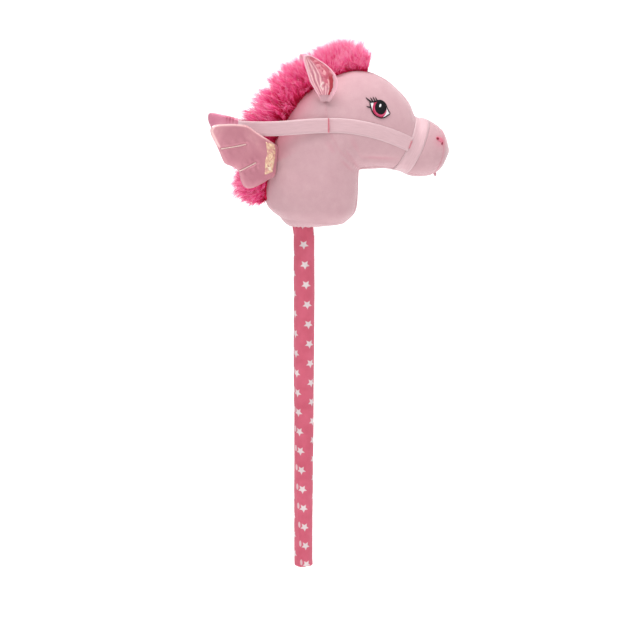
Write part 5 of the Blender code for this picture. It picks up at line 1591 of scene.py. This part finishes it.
# The line round the eye is finer in front and heavier above
EYE_LINE_WIDTHS = (0.7,) * 9 + (0.6,) * 3 + (0.95,) * 6
EYE_LINE = [(*place, half) for place, half in zip(EYE_OUTLINE, EYE_LINE_WIDTHS)]
EYE_LINE.append(EYE_LINE[0])
LASHES = (
    ((-19.8, 12.8, 0.3), (-16.6, 9.8, 0.8), (-13.0, 6.8, 1.1)),
    ((-19.0, 0.8, 0.3), (-16.6, 0.0, 0.7), (-13.9, -0.2, 0.8)),
    ((-13.6, 12.6, 0.3), (-12.0, 10.2, 0.65), (-10.2, 7.2, 0.75)),
    ((-10.2, 13.4, 0.3), (-8.6, 10.6, 0.65), (-7.2, 7.8, 0.75)),
    ((-6.8, 13.0, 0.3), (-5.4, 10.6, 0.65), (-4.2, 8.4, 0.75)),
)
for side_name, side in (("left", 1), ("right", -1)):
    eye = f"eye_{side_name}"
    thread_patch(f"{eye}_ground", f"{eye}_white", EYE_OUTLINE, side, LAYER, white_thread)
    thread_patch(
        f"{eye}_ring", f"{eye}_iris", IRIS_OUTLINE, side, LAYER * 2, crimson_thread,
    )
    thread_patch(
        f"{eye}_ring_light", None, IRIS_LIGHT, side, LAYER * 3, rose_thread,
        rise=0.2, spacing=0.8,
    )
    thread_patch(f"{eye}_disc", f"{eye}_pupil", oval(*PUPIL), side, LAYER * 4, black_thread)
    thread_patch(
        f"{eye}_spark", f"{eye}_glint", oval(*GLINT), side, LAYER * 5, white_thread,
        spacing=0.7,
    )
    lines = (EYE_LINE, *LASHES)
    thread_line(f"{eye}_rim", f"{eye}_outline", lines, side, LAYER * 3.5, black_thread)


# Nostrils and nose seam
#
# Each nostril is a short slanting slit, drawn in and sewn round with coral thread, with a
# darker spot at each end. A few ends of thread hang from the nose's seam.

NOSTRIL_PLACE = (185.8, 620.0)
NOSTRIL_OUTLINE = (
    (-3.0, 2.4), (-1.2, 3.4), (1.4, 2.4), (4.6, 1.6), (7.2, -0.6), (8.0, -4.0), (6.8, -8.6), (5.0, -8.0),
    (3.4, -5.0), (1.0, -3.4), (-1.4, -2.0), (-3.2, 0.0),
)
NOSTRIL_SPOTS = (((-0.6, 0.4), 2.3, 1.7, -0.5), ((5.6, -6.2), 1.3, 2.2, -0.3))
for side_name, side in (("left", 1), ("right", -1)):
    nostril = f"nostril_{side_name}"
    thread_patch(
        f"{nostril}_slit", nostril, NOSTRIL_OUTLINE, side, 0.2, coral_thread,
        rise=0.4, spacing=0.9, middle=NOSTRIL_PLACE,
    )
    for end_name, spot in zip(("upper", "lower"), NOSTRIL_SPOTS):
        thread_patch(
            f"{nostril}_{end_name}_spot", None, oval(*spot), side, 0.5, maroon_thread,
            rise=0.2, spacing=0.6, middle=NOSTRIL_PLACE,
        )

# The ends of thread hang down under the jaw
WISP_COUNT = 22
WISP_PLACE = (183.0, -8.0, 577.0)
wisp_ends = []
chance = np.random.default_rng(5)
for k in range(WISP_COUNT):
    shift_x = chance.normal(0.0, 2.0)
    shift_y = chance.normal(0.0, 1.8)
    run_x = 2.6 - 0.8 * shift_x + chance.normal(0.0, 0.5)
    run_y = chance.normal(-1.0, 0.8)
    run_z = chance.uniform(-11.0, -7.0)
    start = np.add(WISP_PLACE, (shift_x, shift_y, 0.0))
    wisp_ends.append((start, start + (run_x, run_y, run_z)))
points, faces = thread_rods(wisp_ends, 0.32)
wisp = add_piece("jaw_wisp", points / 1000, faces, plush)
# The wisp is painted lighter with the plush's painted light
add_uv(wisp, "drawn_in", 0.0, 0.6)
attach(wisp, "head_and_stick")


# Wings
#
# Each wing is a flat bag of shiny satin, sewn round, turned and padded, with two quilting
# lines that part it into three feathers, and a patch of crinkled foil near its root. Both
# are sewn upright to the neck's sides and stand out behind it.

WING_OUTLINE = (
    (0, 19), (1, 8), (2, -4), (5, -19), (16, -24), (30, -30), (44, -34), (54, -32), (60, -23), (64.5, -9),
    (74.5, -3), (85.5, 2), (93, 16), (98, 26), (106, 40), (107, 48), (102, 53), (83, 54), (64, 53), (49, 50),
    (36, 42), (22, 34), (8, 26),
)
WING_QUILTING = (((92.5, 21.5), (72.0, 23.4), (53.0, 26.0)), ((63.5, -9.5), (50.0, -4.6), (37.0, 0.6)))
PATCH_OUTLINE = ((22, 28), (7, 24), (5.5, 12), (11, -13.5), (24.5, -17), (23.5, 3), (20, 13))
WING_EDGE = 1.0
WING_FULL = 4.4
WING_SPACING = 1.5
WING_WALL = 0.5
WING_SEAM_HALF = 0.06
LEFT_TIP_RISE = 7.0
LEFT_TIP_BACK = 4.0


def wing_points(side, flat, across):
    """Points of a wing: flat holds places back from its root and up, across is toward its outer face.

    The left wing's upper feather curls up.
    """
    back, height = flat.T
    if side > 0:
        curl = between(height, -5.0, 50.0) * np.clip((back - 48.0) / 50.0, 0.0, 1.1) ** 1.3
        height = height + LEFT_TIP_RISE * curl
        back = back + LEFT_TIP_BACK * curl
    x = WING_ROOT[0] - math.cos(WING_FLARE) * back + math.sin(WING_FLARE) * across
    y = WING_ROOT[1] + math.sin(WING_FLARE) * back + math.cos(WING_FLARE) * across
    return np.stack([x, side * y, WING_ROOT[2] + height], axis=-1)


wing_line = smooth_line(WING_OUTLINE, 5, closed=True)
wing_flat, wing_faces = filled(wing_line, WING_SPACING)
wing_back, wing_height = wing_flat.T
wing_edge = from_edge(wing_flat, wing_line)
quilt_lines = [smooth_line(line, 10) for line in WING_QUILTING]


def wing_swell(seed):
    """Half thickness of the padded wing at each of its points."""
    full = WING_EDGE + (WING_FULL - WING_EDGE) * (1 - np.exp(-wing_edge / 4.5)) ** 0.8
    for number, line in enumerate(quilt_lines):
        gaps = np.linalg.norm(wing_flat[:, None] - line, axis=-1)
        away = gaps.min(axis=1)
        share = gaps.argmin(axis=1) / (len(line) - 1)
        full -= (full - 0.7) * 0.85 * np.where(share < 0.9, 1.0, 0.75) * bell(away, 1.7)
        full -= 0.35 * bell(away - 6.0, 3.0) * np.sin(share * 21.0 + number * 2.0)
    flat = np.pad(wing_flat, ((0, 0), (0, 1)))
    full += 0.30 * bell(wing_edge - 4.0, 4.0) * cloud(flat, 3.6, seed)
    full += 0.40 * cloud(flat, 15.0, seed + 2) * (1 - np.exp(-wing_edge / 6))
    full += 0.3 * bell(wing_back, 9.0) * np.sin(wing_height / 3.4 + 1.5 * cloud(flat, 8.0, seed + 5))
    return np.maximum(full, 0.5)


def swell_near(swell, places, count):
    """Mean swell at a wing's nearest points to each place."""
    gaps = np.linalg.norm(places[:, None] - wing_flat, axis=-1)
    return swell[np.argsort(gaps, axis=1)[:, :count]].mean(axis=1)


satins = {}
for name, shade, light, glow in (
    ("mauve_satin", (190, 119, 135), (205, 137, 150), (225, 165, 172)),
    ("lilac_satin", (197, 108, 138), (211, 132, 155), (230, 165, 183)),
):
    satins[name], shader = new_material(
        name, Metallic=0.35, Roughness=0.36, Sheen_Weight=0.2, Anisotropic=0.4, Coat_Weight=0.2,
        Coat_Roughness=0.3,
    )
    place = own_place(shader)
    # The satin's sheen is painted as a drift of light and darker streaks
    drift = speckle(place, 26.0, 3.0, Distortion=0.6)
    rim_lit, back_gather_shade, _ = parts_of(uv_of(shader, "marks"))
    colour = ramp(drift, (0.32, shade), (0.58, light), (0.8, glow))
    paint(shader, blended(rim_lit, blended(back_gather_shade, colour, (158, 34, 74)), (255, 214, 212)))
    threads = use_group(weave, place, Threads_per_metre=12000.0)
    bump(shader, plus(times(threads["Height"], 0.1), speckle(place, 180.0, 3.0)), 0.0005, 0.35)

# The quilting thread's pale colour is painted highlight on a real line of stitches
peach_thread = thread_material(
    "peach_thread", 1.2, (250, 212, 204), (255, 240, 232), raised=False, Roughness=0.3, Coat_Weight=0.5,
)
gold_foil, gold_shader = new_material(
    "gold_foil", Metallic=0.45, Roughness=0.32, Coat_Weight=0.4, Coat_Roughness=0.15, Specular_IOR_Level=0.6,
)
gold_crinkle = use_group(crinkle, own_place(gold_shader), Facets_per_metre=260.0)
gold_colour = ramp(
    gold_crinkle["Tint"], (0.0, (216, 156, 146)), (0.4, (236, 190, 162)), (0.75, (250, 222, 186)),
    (1.0, (255, 238, 212)),
)
paint(gold_shader, gold_colour)
bump(gold_shader, gold_crinkle["Height"], 0.0007, 0.6)

# Painted highlight where the rolled top edge catches the light, and painted shade in the top seam's gathers
# between back and root
rim_light = bell(wing_edge - 1.0, 1.3) * np.where(wing_height > 24.0, 1.0, 0.12)
top_gather_shade = bell(wing_edge, 8.0) * np.exp(-(((wing_back - 70.0) / 9.0) ** 4)) * (wing_height > 20.0)
top_gather_shade *= 0.62 + 0.38 * np.sin(wing_back * 1.25)

# The pad keeps clear of the seam
inset = wing_edge > 2.2
pad_index = np.cumsum(inset) - 1
pad_faces = [tuple(int(pad_index[c]) for c in face) for face in wing_faces if inset[list(face)].all()]

patch_line = np.concatenate([
    np.linspace(here, after, 14, endpoint=False)
    for here, after in zip(PATCH_OUTLINE, PATCH_OUTLINE[1:] + PATCH_OUTLINE[:1])
])
patch_flat, patch_faces = filled(patch_line, 1.0)
patch_full = 1 - np.exp(-from_edge(patch_flat, patch_line) / 0.8)

for side_name, side in (("left", 1), ("right", -1)):
    body = f"wing_{side_name}"
    swells = {1: wing_swell(3.0 + side), -1: wing_swell(9.0 + side)}
    for face, sign, cloth in (("front", 1, "mauve_satin"), ("back", -1, "lilac_satin")):
        inner = np.maximum(swells[sign] - WING_WALL, WING_SEAM_HALF)
        inner = np.where(wing_edge < 0.05, WING_SEAM_HALF, inner)
        points = [wing_points(side, wing_flat, sign * swell) / 1000 for swell in (swells[sign], inner)]
        faces = shell_faces(wing_faces, len(wing_flat))
        skin = add_piece(f"{body}_{face}_satin", np.concatenate(points), faces, satins[cloth])
        add_uv(skin, "marks", rim_light * (sign > 0), top_gather_shade * (sign < 0))
        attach(skin, body)
        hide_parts(f"{body}_{face}")

    # The quilting thread lies in its groove; its pale colour paints the highlight that catches the groove's
    # lip
    stitches = []
    for line in quilt_lines:
        lift = swell_near(swells[1], line[:-2], 2) + 0.6
        stitches += zip(wing_points(side, line[:-2], lift), wing_points(side, line[1:-1], lift))
    points, faces = thread_rods(stitches, 1.0)
    quilting = add_piece(f"{body}_quilting", points / 1000, faces, peach_thread)
    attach(quilting, body)

    halves = []
    for sign in (1, -1):
        full = np.maximum(swells[sign][inset] - 0.9, 0.1)
        halves.append(wing_points(side, wing_flat[inset], sign * full))
    points = np.concatenate(halves) / 1000
    pad = add_piece(f"{body}_pad", points, shell_faces(pad_faces, len(halves[0])), fibre)
    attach(pad, body)
    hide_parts(f"{body}_wadding")

    # The foil patch lies on the outer face
    folds = [abs(noise.noise(Vector((x / 3.0, z / 3.4, 2.0 + side)))) for x, z in patch_flat]
    crumbs = [noise.noise(Vector((x, z, 5.0))) for x, z in patch_flat]
    crumple = 0.45 + 0.55 * np.array(folds) + 0.25 * np.array(crumbs)
    under = swell_near(swells[1], patch_flat, 3)
    lifts = (under + 0.25 + crumple * patch_full, under - 0.15)
    points = np.concatenate([wing_points(side, patch_flat, lift) for lift in lifts]) / 1000
    patch = add_piece(f"{body}_foil", points, shell_faces(patch_faces, len(patch_flat)), gold_foil)
    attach(patch, body)
    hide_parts(f"{body}_patch")
